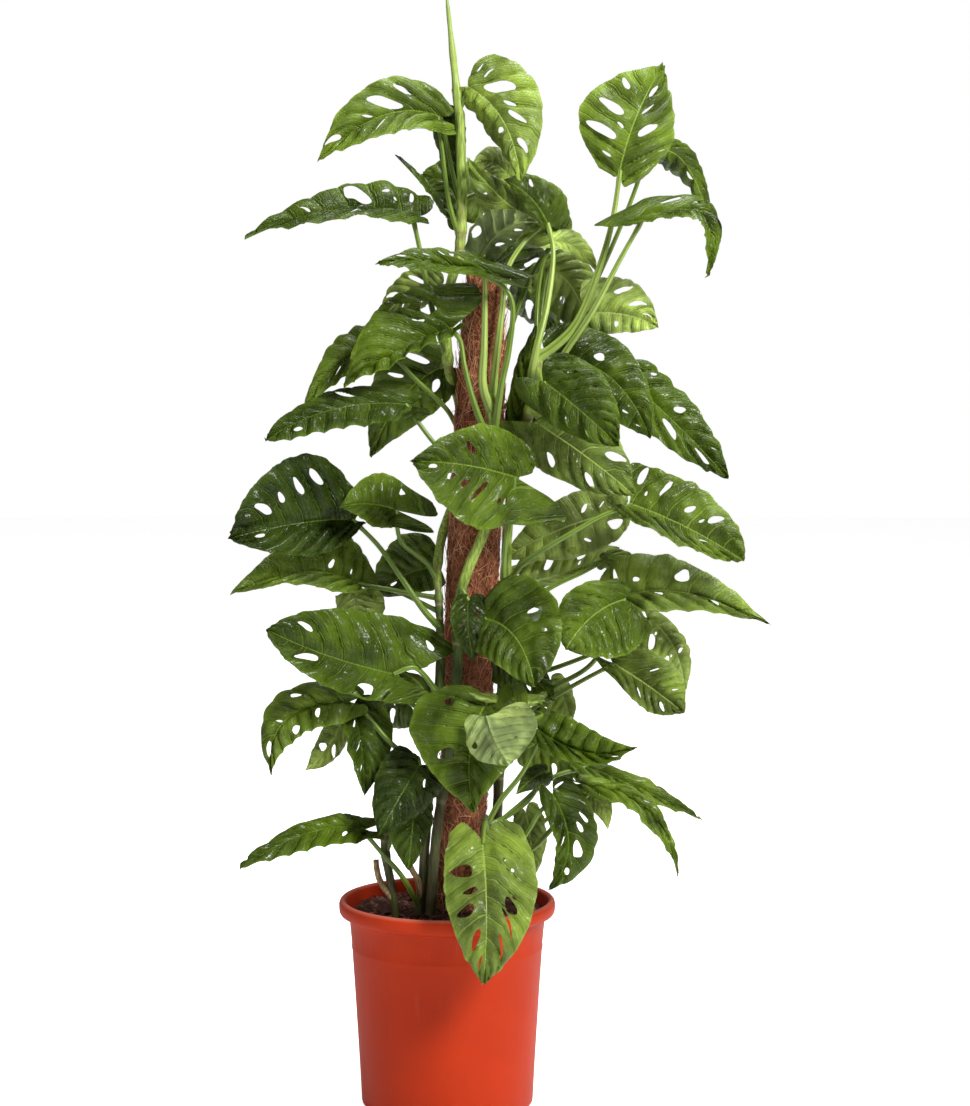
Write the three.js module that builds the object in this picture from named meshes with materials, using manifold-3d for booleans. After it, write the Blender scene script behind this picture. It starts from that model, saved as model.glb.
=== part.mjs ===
// Monstera adansonii climbing a coir pole in a 24 cm nursery pot.
// Millimetres, +Z up. The origin is the centre of the pot's underside, and the
// plant's broad side faces -Y.
import * as THREE from 'three';
import { mergeVertices } from 'three/addons/utils/BufferGeometryUtils.js';
import Module from 'manifold-3d';

const wasm = await Module();
wasm.setup();

// ---------------------------------------------------------------- sizes

const GAP = 0.3;              // clearance between neighbouring pieces

const POT = {
  height: 242, rimRadius: 120, rimBand: 20, rimRound: 5,
  neckRadius: 109, heelRadius: 95.5, heelHeight: 13, footRadius: 91,
  wall: 2.6, floor: 5, sides: 32,
  drains: 8, drainWidth: 12, drainHeight: 5, drainLength: 30,
};
const SOIL = { top: 224, crown: 4, rows: 2, sides: 16, play: 1 };
const POLE = {
  footX: 3.6, topX: 43.2, foot: 12, top: 952,      // the pole leans to +X
  coreRadius: 11, coreSides: 10, coirSides: 16,
  // height and radius of the coir sleeve
  coir: [[40, 25], [205, 25], [450, 28], [620, 29.5], [760, 28], [870, 24], [930, 20.5], [947, 18]],
};
const BLADE = 0.8;            // thickness of a leaf
const REACH = 2;              // how strongly a midrib's depths are carried out
const STALK = { radius: 2.6, sides: 4, step: 52 };
const VINE = { sides: 6, step: 48 };

// ---------------------------------------------------------------- placing

// Every place on the plant is given as [across, up, depth]. Across and up are
// read on the upright plane through the pole, from a point EYE in front of the
// plant; depth then slides the place along that line of sight, away from the
// front (+) or towards it (-). So depth never changes how the front looks.
const EYE = new THREE.Vector3(42, -3500, 1000);

function place([across, up, depth]) {
  const reach = (depth - EYE.y) / -EYE.y;
  return new THREE.Vector3(
    EYE.x + (across - EYE.x) * reach, depth, EYE.z + (up - EYE.z) * reach);
}

// ---------------------------------------------------------------- solids

function toManifold(geometry) {
  const bare = new THREE.BufferGeometry();
  bare.setAttribute('position', geometry.getAttribute('position'));
  if (geometry.index) bare.setIndex(geometry.index);
  const merged = mergeVertices(bare, 1e-4);
  return new wasm.Manifold(new wasm.Mesh({
    numProp: 3,
    vertProperties: new Float32Array(merged.getAttribute('position').array),
    triVerts: new Uint32Array(merged.index.array),
  }));
}

function toGeometry(manifold) {
  const mesh = manifold.getMesh();
  const geometry = new THREE.BufferGeometry();
  geometry.setAttribute('position', new THREE.BufferAttribute(mesh.vertProperties, 3));
  geometry.setIndex(new THREE.BufferAttribute(mesh.triVerts, 1));
  return geometry;
}

function polygon(radius, sides) {
  const shape = new THREE.Shape();
  for (let i = 0; i < sides; i++) {
    const turn = (i / sides) * 2 * Math.PI;
    shape[i ? 'lineTo' : 'moveTo'](radius * Math.cos(turn), radius * Math.sin(turn));
  }
  return shape;
}

function tube(points, radius, sides, step) {
  const path = new THREE.CatmullRomCurve3(points, false, 'centripetal');
  const steps = Math.max(2, Math.round(path.getLength() / step));
  return new THREE.ExtrudeGeometry(
    polygon(radius, sides), { steps, extrudePath: path, bevelEnabled: false });
}

function turned(profile, sides) {
  const points = profile.map(([radius, height]) => new THREE.Vector2(radius, height));
  return new THREE.LatheGeometry(points, sides).rotateX(Math.PI / 2);
}

const group = new THREE.Group();

function add(name, geometry, color, roughness) {
  const material = new THREE.MeshStandardMaterial({ color, roughness, metalness: 0 });
  const mesh = new THREE.Mesh(geometry, material);
  mesh.name = name;
  group.add(mesh);
}

// ---------------------------------------------------------------- pot

// A thin moulded shell: a rim band, a tapered wall, a stepped heel with drain
// slots and a flat floor. The profile runs up the outside and down the inside.
function potGeometry() {
  const { height, rimRadius, rimBand, rimRound, neckRadius, heelRadius, wall } = POT;
  const profile = [
    [0, 0], [POT.footRadius, 0], [POT.footRadius + 1, POT.heelHeight - 2],
    [heelRadius, POT.heelHeight + 1], [neckRadius, height - rimBand],
    [rimRadius, height - rimBand + 7], [rimRadius, height - rimRound],
    [rimRadius - rimRound, height], [rimRadius - rimRound - wall, height - 2],
    [neckRadius - wall, height - rimBand + 2],
    [POT.footRadius - wall, POT.floor], [0, POT.floor],
  ];
  let pot = toManifold(turned(profile, POT.sides));
  for (let i = 0; i < POT.drains; i++) {
    const slot = new THREE.BoxGeometry(POT.drainLength, POT.drainWidth, 2 * POT.drainHeight);
    slot.translate(POT.footRadius, 0, 0).rotateZ(((i + 0.5) / POT.drains) * 2 * Math.PI);
    pot = pot.subtract(toManifold(slot));
  }
  return toGeometry(pot);
}

add('pot', potGeometry(), 0xb83c1e, 0.5);

// ---------------------------------------------------------------- pole

const lean = Math.atan2(POLE.topX - POLE.footX, POLE.top - POLE.foot);

function standOnPole(geometry) {
  return geometry.rotateY(lean).translate(POLE.footX, 0, POLE.foot);
}

function coirSleeve(clearance) {
  const bore = POLE.coreRadius + GAP - clearance;
  const outer = POLE.coir.map(([up, radius]) => [radius + clearance, up - POLE.foot]);
  const low = outer[0][1] - clearance;
  const high = outer[outer.length - 1][1] + clearance;
  outer[0][1] = low;
  outer[outer.length - 1][1] = high;
  return standOnPole(turned([[bore, low], ...outer, [bore, high], [bore, low]], POLE.coirSides));
}

function core(clearance) {
  const radius = POLE.coreRadius + clearance;
  const high = POLE.top - POLE.foot;
  const profile = [[0, -clearance], [radius, -clearance], [radius, high - 3], [radius - 3, high], [0, high]];
  return standOnPole(turned(profile, POLE.coreSides));
}

add('pole_core', core(0), 0x2b2a28, 0.5);
add('pole_coir', coirSleeve(0), 0x7a3a22, 0.95);

// ---------------------------------------------------------------- vines

// The climbing stems, rooted in the soil, each with its radius and its course.
const VINES = {
  a: { radius: 5.6, course: [
    [-34, 190, -30], [-28, 250, -34], [-20, 360, -36], [-10, 455, -39], [-7, 510, -38],
    [-8, 560, -33], [-10, 610, -14], [-4, 650, 18], [10, 690, 36], [20, 740, 38],
    [14, 790, 30], [3, 825, 14], [1, 850, -8], [-1, 880, -16], [4, 920, -14],
    [13, 950, -6], [17, 1000, -4], [16, 1060, 0], [15, 1112, 2]] },
  b: { radius: 6, course: [
    [-20, 190, -42], [-13, 300, -44], [1, 400, -44], [10, 465, -44], [12, 530, -44],
    [14, 575, -42], [22, 605, -44], [36, 638, -46], [48, 668, -44], [52, 720, -42],
    [50, 770, -42], [50, 806, -42]] },
  c: { radius: 6, course: [
    [48, 190, 14], [55, 320, 22], [60, 450, 24], [66, 560, 22], [66, 640, 20],
    [72, 700, 10], [85, 760, -12], [96, 805, -28], [100, 846, -34]] },
  d: { radius: 5, course: [
    [-54, 190, -40], [-61, 250, -42], [-69, 300, -42], [-66, 340, -38]] },
  e: { radius: 5.5, course: [[40, 190, -52], [44, 250, -54], [44, 300, -50], [43, 336, -46]] },
  f: { radius: 5.6, course: [
    [2, 190, 44], [12, 320, 44], [26, 450, 46], [36, 580, 48], [40, 700, 46], [44, 790, 42]] },
};

for (const vine of Object.values(VINES)) {
  const points = vine.course.map(place);
  vine.path = new THREE.CatmullRomCurve3(points, false, 'centripetal');
  vine.solid = toManifold(tube(points, vine.radius, VINE.sides, VINE.step));
  vine.clear = toManifold(tube(points, vine.radius + GAP, VINE.sides, VINE.step));
}

// The leader ends in a rolled young leaf, a slender spear.
const SPEAR = { low: place([15.5, 1095, 2]), high: place([0, 1237, 4]), radius: 5, tipRadius: 0.7 };

function spear(clearance) {
  const { low, high, radius, tipRadius } = SPEAR;
  const axis = high.clone().sub(low);
  const cone = new THREE.CylinderGeometry(
    tipRadius + clearance, radius + clearance, axis.length(), VINE.sides);
  const turn = new THREE.Quaternion().setFromUnitVectors(
    new THREE.Vector3(0, 1, 0), axis.clone().normalize());
  const middle = low.clone().add(high).divideScalar(2);
  return cone.applyQuaternion(turn).translate(middle.x, middle.y, middle.z);
}

VINES.a.solid = VINES.a.solid.add(toManifold(spear(0)));
VINES.a.clear = VINES.a.clear.add(toManifold(spear(GAP)));

// The point on a vine's axis at a given height.
function onVine(vine, height) {
  let low = 0;
  let high = 1;
  for (let i = 0; i < 30; i++) {
    const middle = (low + high) / 2;
    if (vine.path.getPoint(middle).z < height) low = middle;
    else high = middle;
  }
  return vine.path.getPoint(low);
}

// ---------------------------------------------------------------- leaves

// Half of a leaf's outline, from the notch at its stalk round the basal lobe
// to the drawn-out tip: along the midrib (0 to 1) and out from it (0 to 1).
const HALF_OUTLINE = [
  [-0.08, 0.18], [-0.1, 0.46], [-0.02, 0.76], [0.16, 0.97],
  [0.38, 0.99], [0.6, 0.79], [0.78, 0.5], [0.9, 0.22], [1, 0],
];
const RIB_POINTS = [0, 0.35, 0.7];
const BENT_RIB_POINTS = [0, 0.2, 0.4, 0.55, 0.7, 0.85];

// Holes in the blade between its side veins: reach from the midrib and half
// width along it. O large, o middling, - a slit.
const WINDOWS = { O: [0.15, 0.84, 0.056], o: [0.25, 0.75, 0.04] };
const WINDOW_CORNERS = 4;
const VEIN_SLANT = 0.16;

// The local half width, used to keep the holes inside the outline.
function reachOut(u) {
  const edge = HALF_OUTLINE.slice(3);
  for (let i = 1; i < edge.length; i++) {
    if (u <= edge[i][0]) {
      const part = (u - edge[i - 1][0]) / (edge[i][0] - edge[i - 1][0]);
      return edge[i - 1][1] + Math.max(0, part) * (edge[i][1] - edge[i - 1][1]);
    }
  }
  return 0;
}

function windowLoops(marks) {
  const loops = [];
  const pitch = 0.72 / marks.length;
  [...marks].forEach((mark, i) => {
    if (!WINDOWS[mark]) return;
    const [near, far, half] = WINDOWS[mark];
    const middle = 0.1 + pitch * (i + 0.5);
    const loop = [];
    for (let k = 0; k < WINDOW_CORNERS; k++) {
      const turn = (k / WINDOW_CORNERS) * 2 * Math.PI;
      const out = (near + far) / 2 - (Math.cos(turn) * (far - near)) / 2;
      const u = middle + half * Math.sin(turn) + VEIN_SLANT * (out - 0.5);
      loop.push([u, out * reachOut(u)]);
    }
    loops.push(loop);
  });
  return loops;
}

// A shape setting is one number, or one for the left half and one for the right.
function perSide(setting, w) {
  if (!Array.isArray(setting)) return setting;
  return setting[w < 0 ? 1 : 0];
}

// Where a point of the blade lies: u runs along the midrib and w out from it,
// positive on the leaf's left, as one looks from its stalk to its tip.
function bladePoint(leaf, u, w) {
  const [base, bow, tip] = leaf.rib;
  const side = w < 0 ? leaf.right : leaf.left;
  const out = Math.abs(w);
  const s = Math.max(u, 0);
  const spot = [0, 1, 2].map(
    (i) => (1 - s) ** 2 * base[i] + 2 * s * (1 - s) * bow[i] + s * s * tip[i]);
  spot[2] = base[2] + REACH * (spot[2] - base[2]);
  const slope = [0, 1, 2].map((i) => 2 * (1 - s) * (bow[i] - base[i]) + 2 * s * (tip[i] - bow[i]));
  const lobe = perSide(leaf.lobe, w);
  if (u < 0) spot.forEach((value, i) => { spot[i] = value + u * lobe * 2 * (bow[i] - base[i]); });
  const along = [slope[0] + tip[0] - base[0], slope[1] + tip[1] - base[1]];
  const length = Math.hypot(...along);
  const width = side[0] * out * Math.sign(w);
  const curl = side[1] * (0.35 * out + 0.65 * out * out);
  const ripple = leaf.ripple * out * out * Math.sin(9 * u + 4 * w + leaf.rib[2][0]);
  return place([
    spot[0] - (along[1] / length) * width,
    spot[1] + (along[0] / length) * width,
    spot[2] + curl + ripple]);
}

function bladeNormal(leaf, u, w) {
  const e = 0.02;
  const alongRib = bladePoint(leaf, u + e, w).sub(bladePoint(leaf, u - e, w));
  const outward = bladePoint(leaf, u, w + e).sub(bladePoint(leaf, u, w - e));
  return alongRib.cross(outward).normalize();
}

// How true a triangle is: whether it faces the way the blade does at its corners,
// and how far it is from a sliver.
function trueness(corners, spots, facings) {
  const [p, q, r] = corners.map((i) => spots[i]);
  const triangle = new THREE.Triangle(p, q, r);
  const facing = triangle.getNormal(new THREE.Vector3());
  const sides = p.distanceToSquared(q) + q.distanceToSquared(r) + r.distanceToSquared(p);
  const evenness = (4 * Math.sqrt(3) * triangle.getArea()) / sides;
  return Math.min(...corners.map((i) => facing.dot(facings[i]))) + 0.3 * evenness;
}

function flatArea([a, b, c], flat) {
  const [p, q, r] = [flat[a], flat[b], flat[c]];
  return (q.x - p.x) * (r.y - p.y) - (r.x - p.x) * (q.y - p.y);
}

// Turns the shared edge of two triangles wherever that makes them truer.
function settled(faces, flat, spots, facings) {
  const score = (face) => trueness(face, spots, facings);
  for (let round = 0; round < 40; round++) {
    const owners = new Map();
    faces.forEach((face, f) => {
      face.forEach((p, k) => owners.set(`${p},${face[(k + 1) % 3]}`, f));
    });
    const touched = new Set();
    for (const [edge, f] of owners) {
      const [a, b] = edge.split(',').map(Number);
      const g = owners.get(`${b},${a}`);
      if (g === undefined || touched.has(f) || touched.has(g)) continue;
      const c = faces[f].find((i) => i !== a && i !== b);
      const d = faces[g].find((i) => i !== a && i !== b);
      const turned = [[a, d, c], [d, b, c]];
      if (turned.some((face) => flatArea(face, flat) < 1e-4)) continue;
      const gain = score(turned[0]) + score(turned[1]) - score(faces[f]) - score(faces[g]);
      if (gain < 0.01) continue;
      [faces[f], faces[g]] = turned;
      touched.add(f).add(g);
    }
    if (!touched.size) break;
  }
  return faces;
}

// A thin blade with both faces split into the same triangles, and walls along
// the outline and round each hole.
function bladeGeometry(leaf) {
  const flat = [];
  const faces = [];
  const slots = new Map();
  const slot = (u, w) => {
    const key = `${u.toFixed(5)},${w.toFixed(5)}`;
    if (!slots.has(key)) { slots.set(key, flat.length); flat.push([u, w]); }
    return slots.get(key);
  };
  const stretch = 1.4;        // a leaf is longer than its half width
  for (const [sign, marks] of [[1, leaf.windows[0]], [-1, leaf.windows[1]]]) {
    const bend = (u) => (u > 0 ? u ** leaf.broad : u);
    const shoulder = perSide(leaf.shoulder, sign);
    const fill = (u, v) => v ** leaf.full * Math.max(0.2, 1 - shoulder * (1 - u) ** 5);
    const rim = HALF_OUTLINE.map(([u, v]) => [bend(u), sign * fill(u, v)]);
    const rib = (leaf.bent ? BENT_RIB_POINTS : RIB_POINTS).map((u) => [u, 0]).reverse();
    const contour = [...rim, ...rib];
    const holes = windowLoops(marks).map((loop) => loop.map(([u, v]) => [bend(u), sign * fill(u, v)]));
    const flatten = ([u, w]) => new THREE.Vector2(u * stretch, w);
    const all = [...contour, ...holes.flat()];
    const plan = all.map(flatten);
    const cut = THREE.ShapeUtils.triangulateShape(
      contour.map(flatten), holes.map((loop) => loop.map(flatten)));
    const upright = cut.map((face) => (flatArea(face, plan) > 0 ? face : face.reverse()));
    const spots = all.map(([u, w]) => bladePoint(leaf, u, w));
    const facings = all.map(([u, w]) => bladeNormal(leaf, u, w));
    for (const face of settled(upright, plan, spots, facings)) {
      faces.push(face.map((i) => slot(...all[i])));
    }
  }
  const top = [];
  const bottom = [];
  for (const [u, w] of flat) {
    const middle = bladePoint(leaf, u, w);
    const lift = bladeNormal(leaf, u, w).multiplyScalar(BLADE / 2);
    top.push(...middle.clone().add(lift).toArray());
    bottom.push(...middle.sub(lift).toArray());
  }
  const count = flat.length;
  const edges = new Map();
  const index = [];
  for (const [a, b, c] of faces) {
    index.push(a, b, c, a + count, c + count, b + count);
    for (const [p, q] of [[a, b], [b, c], [c, a]]) edges.set(`${p},${q}`, [p, q]);
  }
  for (const [p, q] of edges.values()) {
    if (!edges.has(`${q},${p}`)) index.push(p, p + count, q + count, p, q + count, q);
  }
  const geometry = new THREE.BufferGeometry();
  geometry.setAttribute('position', new THREE.Float32BufferAttribute([...top, ...bottom], 3));
  geometry.setIndex(index);
  return geometry;
}

function stalkGeometry(leaf) {
  const sunk = bladePoint(leaf, 0.03, 0);
  const foot = onVine(VINES[leaf.vine], leaf.foot);
  const points = [sunk, ...leaf.stalk.map(place), foot];
  return tube(points, leaf.thick, STALK.sides, STALK.step);
}

const LEAF_DEFAULTS = { stalk: [], windows: ['oOo', 'oOo'], lobe: 1, broad: 1, ripple: 3,
  full: 1, shoulder: 0, bent: false, thick: STALK.radius, tone: 'mature' };
const TONES = { mature: 0x35571f, deep: 0x2b451b, bright: 0x4f7d2b, young: 0x86a552, pale: 0x7d9a5e };

// Each leaf: the vine and the height it springs from, the course of its stalk
// from blade to vine, its midrib (base, bow, tip), and for its left and right
// halves the width and how far the margin lies behind (+) the midrib.
const LEAVES = [
  // crown
  { name: 'leaf_01', vine: 'a', foot: 966, stalk: [[-5, 1070, -9], [3, 1010, -9]],
    rib: [[-8, 1102, -10], [-68, 1116, -30], [-134, 1050, -40]],
    left: [26, -22], right: [42, 14], windows: ['o-o', 'OOO-'], broad: 0.8, tone: 'young' },
  { name: 'leaf_02', vine: 'a', foot: 1118,
    rib: [[23, 1131, -2], [74, 1110, -20], [72, 1040, -34]],
    left: [52, 16], right: [21, 30], windows: ['-OOO', '-o-'], full: 0.85, tone: 'bright' },
  { name: 'leaf_03', vine: 'c', foot: 842, thick: 5,
    stalk: [[180, 988, -20], [165, 935, -26], [140, 876, -32], [116, 852, -34]],
    rib: [[191, 1035, -14], [190, 1101, -22], [228, 1156, 4]],
    left: [64, 10], right: [54, 16], windows: ['O-OO', 'O-o'], full: 0.85, broad: 0.8,
    lobe: [0.2, 0.8], shoulder: [0.3, 0], tone: 'bright' },
  { name: 'leaf_04', vine: 'f', foot: 770,
    stalk: [[196, 1000, 34], [156, 910, 42], [118, 840, 46], [80, 800, 50]],
    rib: [[214, 1060, 40], [264, 1082, 56], [284, 1010, 70]],
    left: [12, 26], right: [14, 30], windows: ['', 'o'], tone: 'bright' },
  { name: 'leaf_05', vine: 'c', foot: 784, thick: 4.2,
    stalk: [[190, 950, -56], [158, 890, -44], [126, 842, -30], [108, 808, -25]],
    rib: [[206, 985, -60], [308, 1024, -62], [279, 937, -70]],
    left: [15, 34], right: [6, -30], windows: ['ooo', ''], lobe: [2.4, 0.6], bent: true, tone: 'deep' },
  { name: 'leaf_06', vine: 'a', foot: 842, thick: 3.4,
    stalk: [[-28, 955, -26], [-18, 905, -26], [-8, 868, -22]],
    rib: [[-32, 992, -26], [-112, 1034, -36], [-207, 970, -44]],
    left: [13, -40], right: [22, 38], windows: ['o-', 'O-'], broad: 1.3, lobe: 1 },
  { name: 'leaf_07', vine: 'a', foot: 984, fused: true,
    rib: [[0, 1000, 14], [-22, 1032, 20], [-55, 1061, 26]],
    left: [4, -20], right: [5, 22], windows: ['', ''] },
  { name: 'leaf_08', vine: 'a', foot: 978, fused: true, stalk: [[16, 984, 22]],
    rib: [[14, 998, 34], [0, 1028, 46], [-22, 1036, 66]],
    left: [20, 14], right: [26, 18], windows: ['', ''], tone: 'deep' },
  { name: 'leaf_09', vine: 'a', foot: 1010, fused: true, stalk: [[40, 1022, 12]],
    rib: [[72, 1036, 18], [54, 1072, 8], [32, 1050, -6]],
    left: [12, -12], right: [17, 12], windows: ['', ''], lobe: 2, tone: 'young' },
  { name: 'leaf_10', vine: 'b', foot: 803, thick: 4.2,
    stalk: [[84, 966, 2], [66, 936, -20], [60, 890, -30], [54, 840, -38]],
    rib: [[104, 984, 10], [58, 1006, -8], [20, 1046, -16]],
    left: [26, 14], right: [16, 18], windows: ['ooo', ''] },
  { name: 'leaf_11', vine: 'c', foot: 806, thick: 4.6,
    stalk: [[116, 958, -26], [110, 900, -42], [98, 850, -56], [93, 820, -50]],
    rib: [[112, 984, -14], [92, 1018, -20], [62, 1034, -22]],
    left: [10, -6], right: [30, 22], windows: ['', 'oo'], full: 0.8 },
  { name: 'leaf_12', vine: 'f', foot: 786, fused: true, stalk: [[92, 930, 78], [66, 860, 66]],
    rib: [[122, 975, 74], [128, 1010, 76], [90, 1038, 72]],
    left: [16, 10], right: [10, 26], windows: ['', ''], tone: 'deep' },
  { name: 'leaf_13', vine: 'b', foot: 782, thick: 4.8, stalk: [[42, 920, -42], [41, 850, -52], [40, 810, -56]],
    rib: [[44, 955, -46], [62, 986, -64], [99, 988, -84]],
    left: [22, 20], right: [18, -10], windows: ['o', 'oo'], tone: 'pale' },
  { name: 'leaf_14', vine: 'c', foot: 818, fused: true, stalk: [[104, 940, 24], [98, 880, 14], [100, 846, -8]],
    rib: [[112, 966, 26], [146, 976, 30], [167, 939, 40]],
    left: [14, 24], right: [8, -14], windows: ['', ''], lobe: 1.6, tone: 'young' },
  { name: 'leaf_15', vine: 'b', foot: 752, thick: 4,
    stalk: [[65, 915, -63], [72, 898, -64], [68, 850, -62], [60, 812, -60]],
    rib: [[43, 931, -62], [-16, 950, -78], [-74, 943, -92]],
    left: [7, -34], right: [14, 14], windows: ['o-', 'o-o'], lobe: 3.4 },
  // upper left
  { name: 'leaf_16', vine: 'a', foot: 900, rib: [[-12, 916, 8], [-52, 924, 26], [-80, 884, 40]],
    left: [20, -8], right: [26, 18], windows: ['O-', 'Oo'] },
  { name: 'leaf_17', vine: 'b', foot: 744, thick: 3.8,
    stalk: [[14, 862, -42], [20, 830, -46], [34, 780, -50]],
    rib: [[3, 876, -44], [-50, 860, -62], [-112, 806, -72]],
    left: [9, -30], right: [40, 20], windows: ['-', 'O--'], lobe: [1, 3.2], broad: 1.2 },
  { name: 'leaf_18', vine: 'a', foot: 744, stalk: [[-36, 820, -14], [0, 785, 6], [10, 768, 20]],
    rib: [[-60, 845, -20], [-122, 858, -34], [-160, 790, -44]],
    left: [19, -20], right: [28, 26], windows: ['o-', 'o-o'] },
  { name: 'leaf_19', vine: 'b', foot: 708, stalk: [[-10, 744, -62], [16, 722, -60]],
    rib: [[-42, 785, -60], [-118, 794, -76], [-200, 750, -84]],
    left: [24, -26], right: [18, 34], windows: ['o', 'o-'] },
  { name: 'leaf_20', vine: 'a', foot: 838, stalk: [],
    rib: [[-4, 832, 22], [-48, 810, 30], [-80, 734, 34]],
    left: [30, -8], right: [34, 24], windows: ['OoO', 'O-O'] },
  // middle left
  { name: 'leaf_21', vine: 'a', foot: 548, thick: 3.4,
    stalk: [[-75, 635, -40], [-50, 600, -46], [-24, 562, -46]],
    rib: [[-96, 662, -36], [-163, 672, -46], [-239, 655, -64]],
    left: [36, -22], right: [76, -8], windows: ['---O', 'OOO-O'], full: 0.8, shoulder: 0.6 },
  { name: 'leaf_22', vine: 'a', foot: 598, stalk: [[-50, 640, -42], [-22, 616, -28]],
    rib: [[-66, 663, -54], [-100, 690, -62], [-121, 675, -72]],
    left: [10, -16], right: [36, 16], windows: ['', 'o'], lobe: 4.6, broad: 1.3, tone: 'bright' },
  { name: 'leaf_23', vine: 'a', foot: 580, stalk: [[-60, 586, -6]],
    rib: [[-94, 586, -6], [-154, 632, -20], [-239, 593, -30]],
    left: [18, -22], right: [40, 20], windows: ['', 'OO'], broad: 1.5, lobe: 1.4, tone: 'deep' },
  { name: 'leaf_24', vine: 'a', foot: 618, fused: true, rib: [[-16, 612, 18], [-50, 622, 34], [-88, 592, 46]],
    left: [20, -8], right: [36, 18], windows: ['o', ''], tone: 'deep' },
  { name: 'leaf_25', vine: 'a', foot: 566, fused: true, stalk: [[-70, 588, 30]],
    rib: [[-104, 583, 30], [-103, 560, 20], [-98, 528, 16]],
    left: [26, 14], right: [20, 14], windows: ['', ''], lobe: 0.2, tone: 'young' },
  { name: 'leaf_26', vine: 'a', foot: 474, thick: 3.2, stalk: [[-36, 500, -62]],
    rib: [[-60, 497, -66], [-131, 514, -84], [-205, 549, -98]],
    left: [32, -18], right: [52, 22], windows: ['--oO', 'oo-O'], lobe: 2.6, full: 0.72, tone: 'bright' },
  { name: 'leaf_27', vine: 'b', foot: 366, thick: 3,
    stalk: [[-94, 452, -48], [-66, 420, -54], [-36, 392, -54]],
    rib: [[-112, 464, -50], [-196, 468, -62], [-190, 373, -72]],
    left: [32, -16], right: [30, 18], windows: ['O--o', 'O-o-'], bent: true },
  { name: 'leaf_28', vine: 'd', foot: 330, fused: true, stalk: [[-92, 420, -20]],
    rib: [[-114, 442, -22], [-128, 410, -26], [-157, 391, -30]],
    left: [16, 8], right: [14, 8], windows: ['O', ''] },
  { name: 'leaf_29', vine: 'd', foot: 336, stalk: [[-84, 434, -30], [-66, 400, -34]],
    rib: [[-106, 456, -38], [-98, 410, -52], [-90, 357, -58]],
    left: [24, 18], right: [18, -18], windows: ['-O-', 'o--'], tone: 'bright' },
  { name: 'leaf_30', vine: 'a', foot: 440, fused: true, stalk: [[-34, 456, 6]],
    rib: [[-44, 466, 16], [-70, 480, 26], [-90, 440, 34]],
    left: [15, 8], right: [12, 14], windows: ['', ''], tone: 'deep' },
  { name: 'leaf_31', vine: 'd', foot: 322, stalk: [[-34, 400, -62], [-56, 376, -46]],
    rib: [[-28, 392, -72], [-44, 366, -92], [-76, 318, -100]],
    left: [33, 20], right: [34, 16], windows: ['o-', ''], full: 0.8, tone: 'deep' },
  { name: 'leaf_32', vine: 'a', foot: 236, thick: 3, stalk: [[-72, 292, -60], [-50, 266, -58]],
    rib: [[-94, 319, -62], [-146, 339, -78], [-224, 283, -96]],
    left: [20, -34], right: [12, 36], windows: ['o-o', 'o'], lobe: 1.6, tone: 'bright' },
  { name: 'leaf_33', vine: 'd', foot: 300, fused: true, stalk: [[-42, 352, -52], [-56, 322, -48]],
    rib: [[-34, 360, -58], [-38, 330, -72], [-46, 290, -76]],
    left: [20, 16], right: [26, 10], windows: ['--', '-'], tone: 'bright' },
  // front and centre
  { name: 'leaf_34', vine: 'c', foot: 545, thick: 3.6,
    stalk: [[72, 680, -66], [65, 640, -60], [62, 598, -44], [64, 568, -14]],
    rib: [[79, 711, -74], [20, 738, -104], [-41, 728, -118]],
    left: [66, -10], right: [46, 22], windows: ['-o-oO', 'O'], lobe: [3.4, 0.8], full: 0.85, tone: 'pale' },
  // upper right
  { name: 'leaf_35', vine: 'c', foot: 788, thick: 3.2,
    stalk: [[99, 806, -64]],
    rib: [[101, 816, -74], [150, 790, -96], [191, 745, -104]],
    left: [38, 16], right: [34, 14], windows: ['', 'oo'], full: 0.85, tone: 'bright' },
  { name: 'leaf_36', vine: 'c', foot: 742, rib: [[98, 772, -34], [150, 742, -44], [191, 690, -50]],
    left: [38, 22], right: [38, 14], windows: ['o-O', 'oo'], full: 0.85, lobe: 0.4 },
  { name: 'leaf_37', vine: 'c', foot: 756, stalk: [[114, 812, 6], [100, 780, 2]],
    rib: [[118, 838, -14], [190, 830, -26], [223, 752, -34]],
    left: [28, 20], right: [42, -4], windows: ['oo', 'o-O'], full: 0.85, lobe: 0.5 },
  { name: 'leaf_38', vine: 'c', foot: 730, stalk: [[128, 858, 14], [112, 816, 16], [98, 776, 12]],
    rib: [[156, 889, 12], [196, 890, 2], [231, 873, -6]],
    left: [36, 22], right: [20, -8], windows: ['Oo', '-o'], full: 0.85, tone: 'young' },
  { name: 'leaf_39', vine: 'c', foot: 716, thick: 3, stalk: [[170, 824, 24], [130, 796, 30], [100, 750, 22]],
    rib: [[201, 817, 14], [262, 776, 2], [309, 707, -10]],
    left: [32, 18], right: [32, -16], windows: ['OO-OO', '--O'], full: 0.85 },
  { name: 'leaf_40', vine: 'c', foot: 578, thick: 3.4,
    stalk: [[170, 668, -46], [140, 651, -44], [108, 632, -36], [80, 612, -20]],
    rib: [[203, 675, -46], [262, 672, -60], [323, 618, -74]],
    left: [55, 20], right: [25, -20], windows: ['OO-oO', '-oO'], broad: 1.25, full: 0.7 },
  { name: 'leaf_41', vine: 'c', foot: 604, stalk: [[150, 650, 26], [100, 622, 26]],
    rib: [[190, 673, 2], [126, 672, 8], [68, 626, 16]],
    left: [24, 10], right: [32, 14], windows: ['O--', 'oooo'], full: 1, tone: 'pale' },
  { name: 'leaf_42', vine: 'f', foot: 580, fused: true, stalk: [[70, 590, 44]],
    rib: [[92, 600, 40], [140, 596, 44], [188, 622, 50]],
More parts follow.
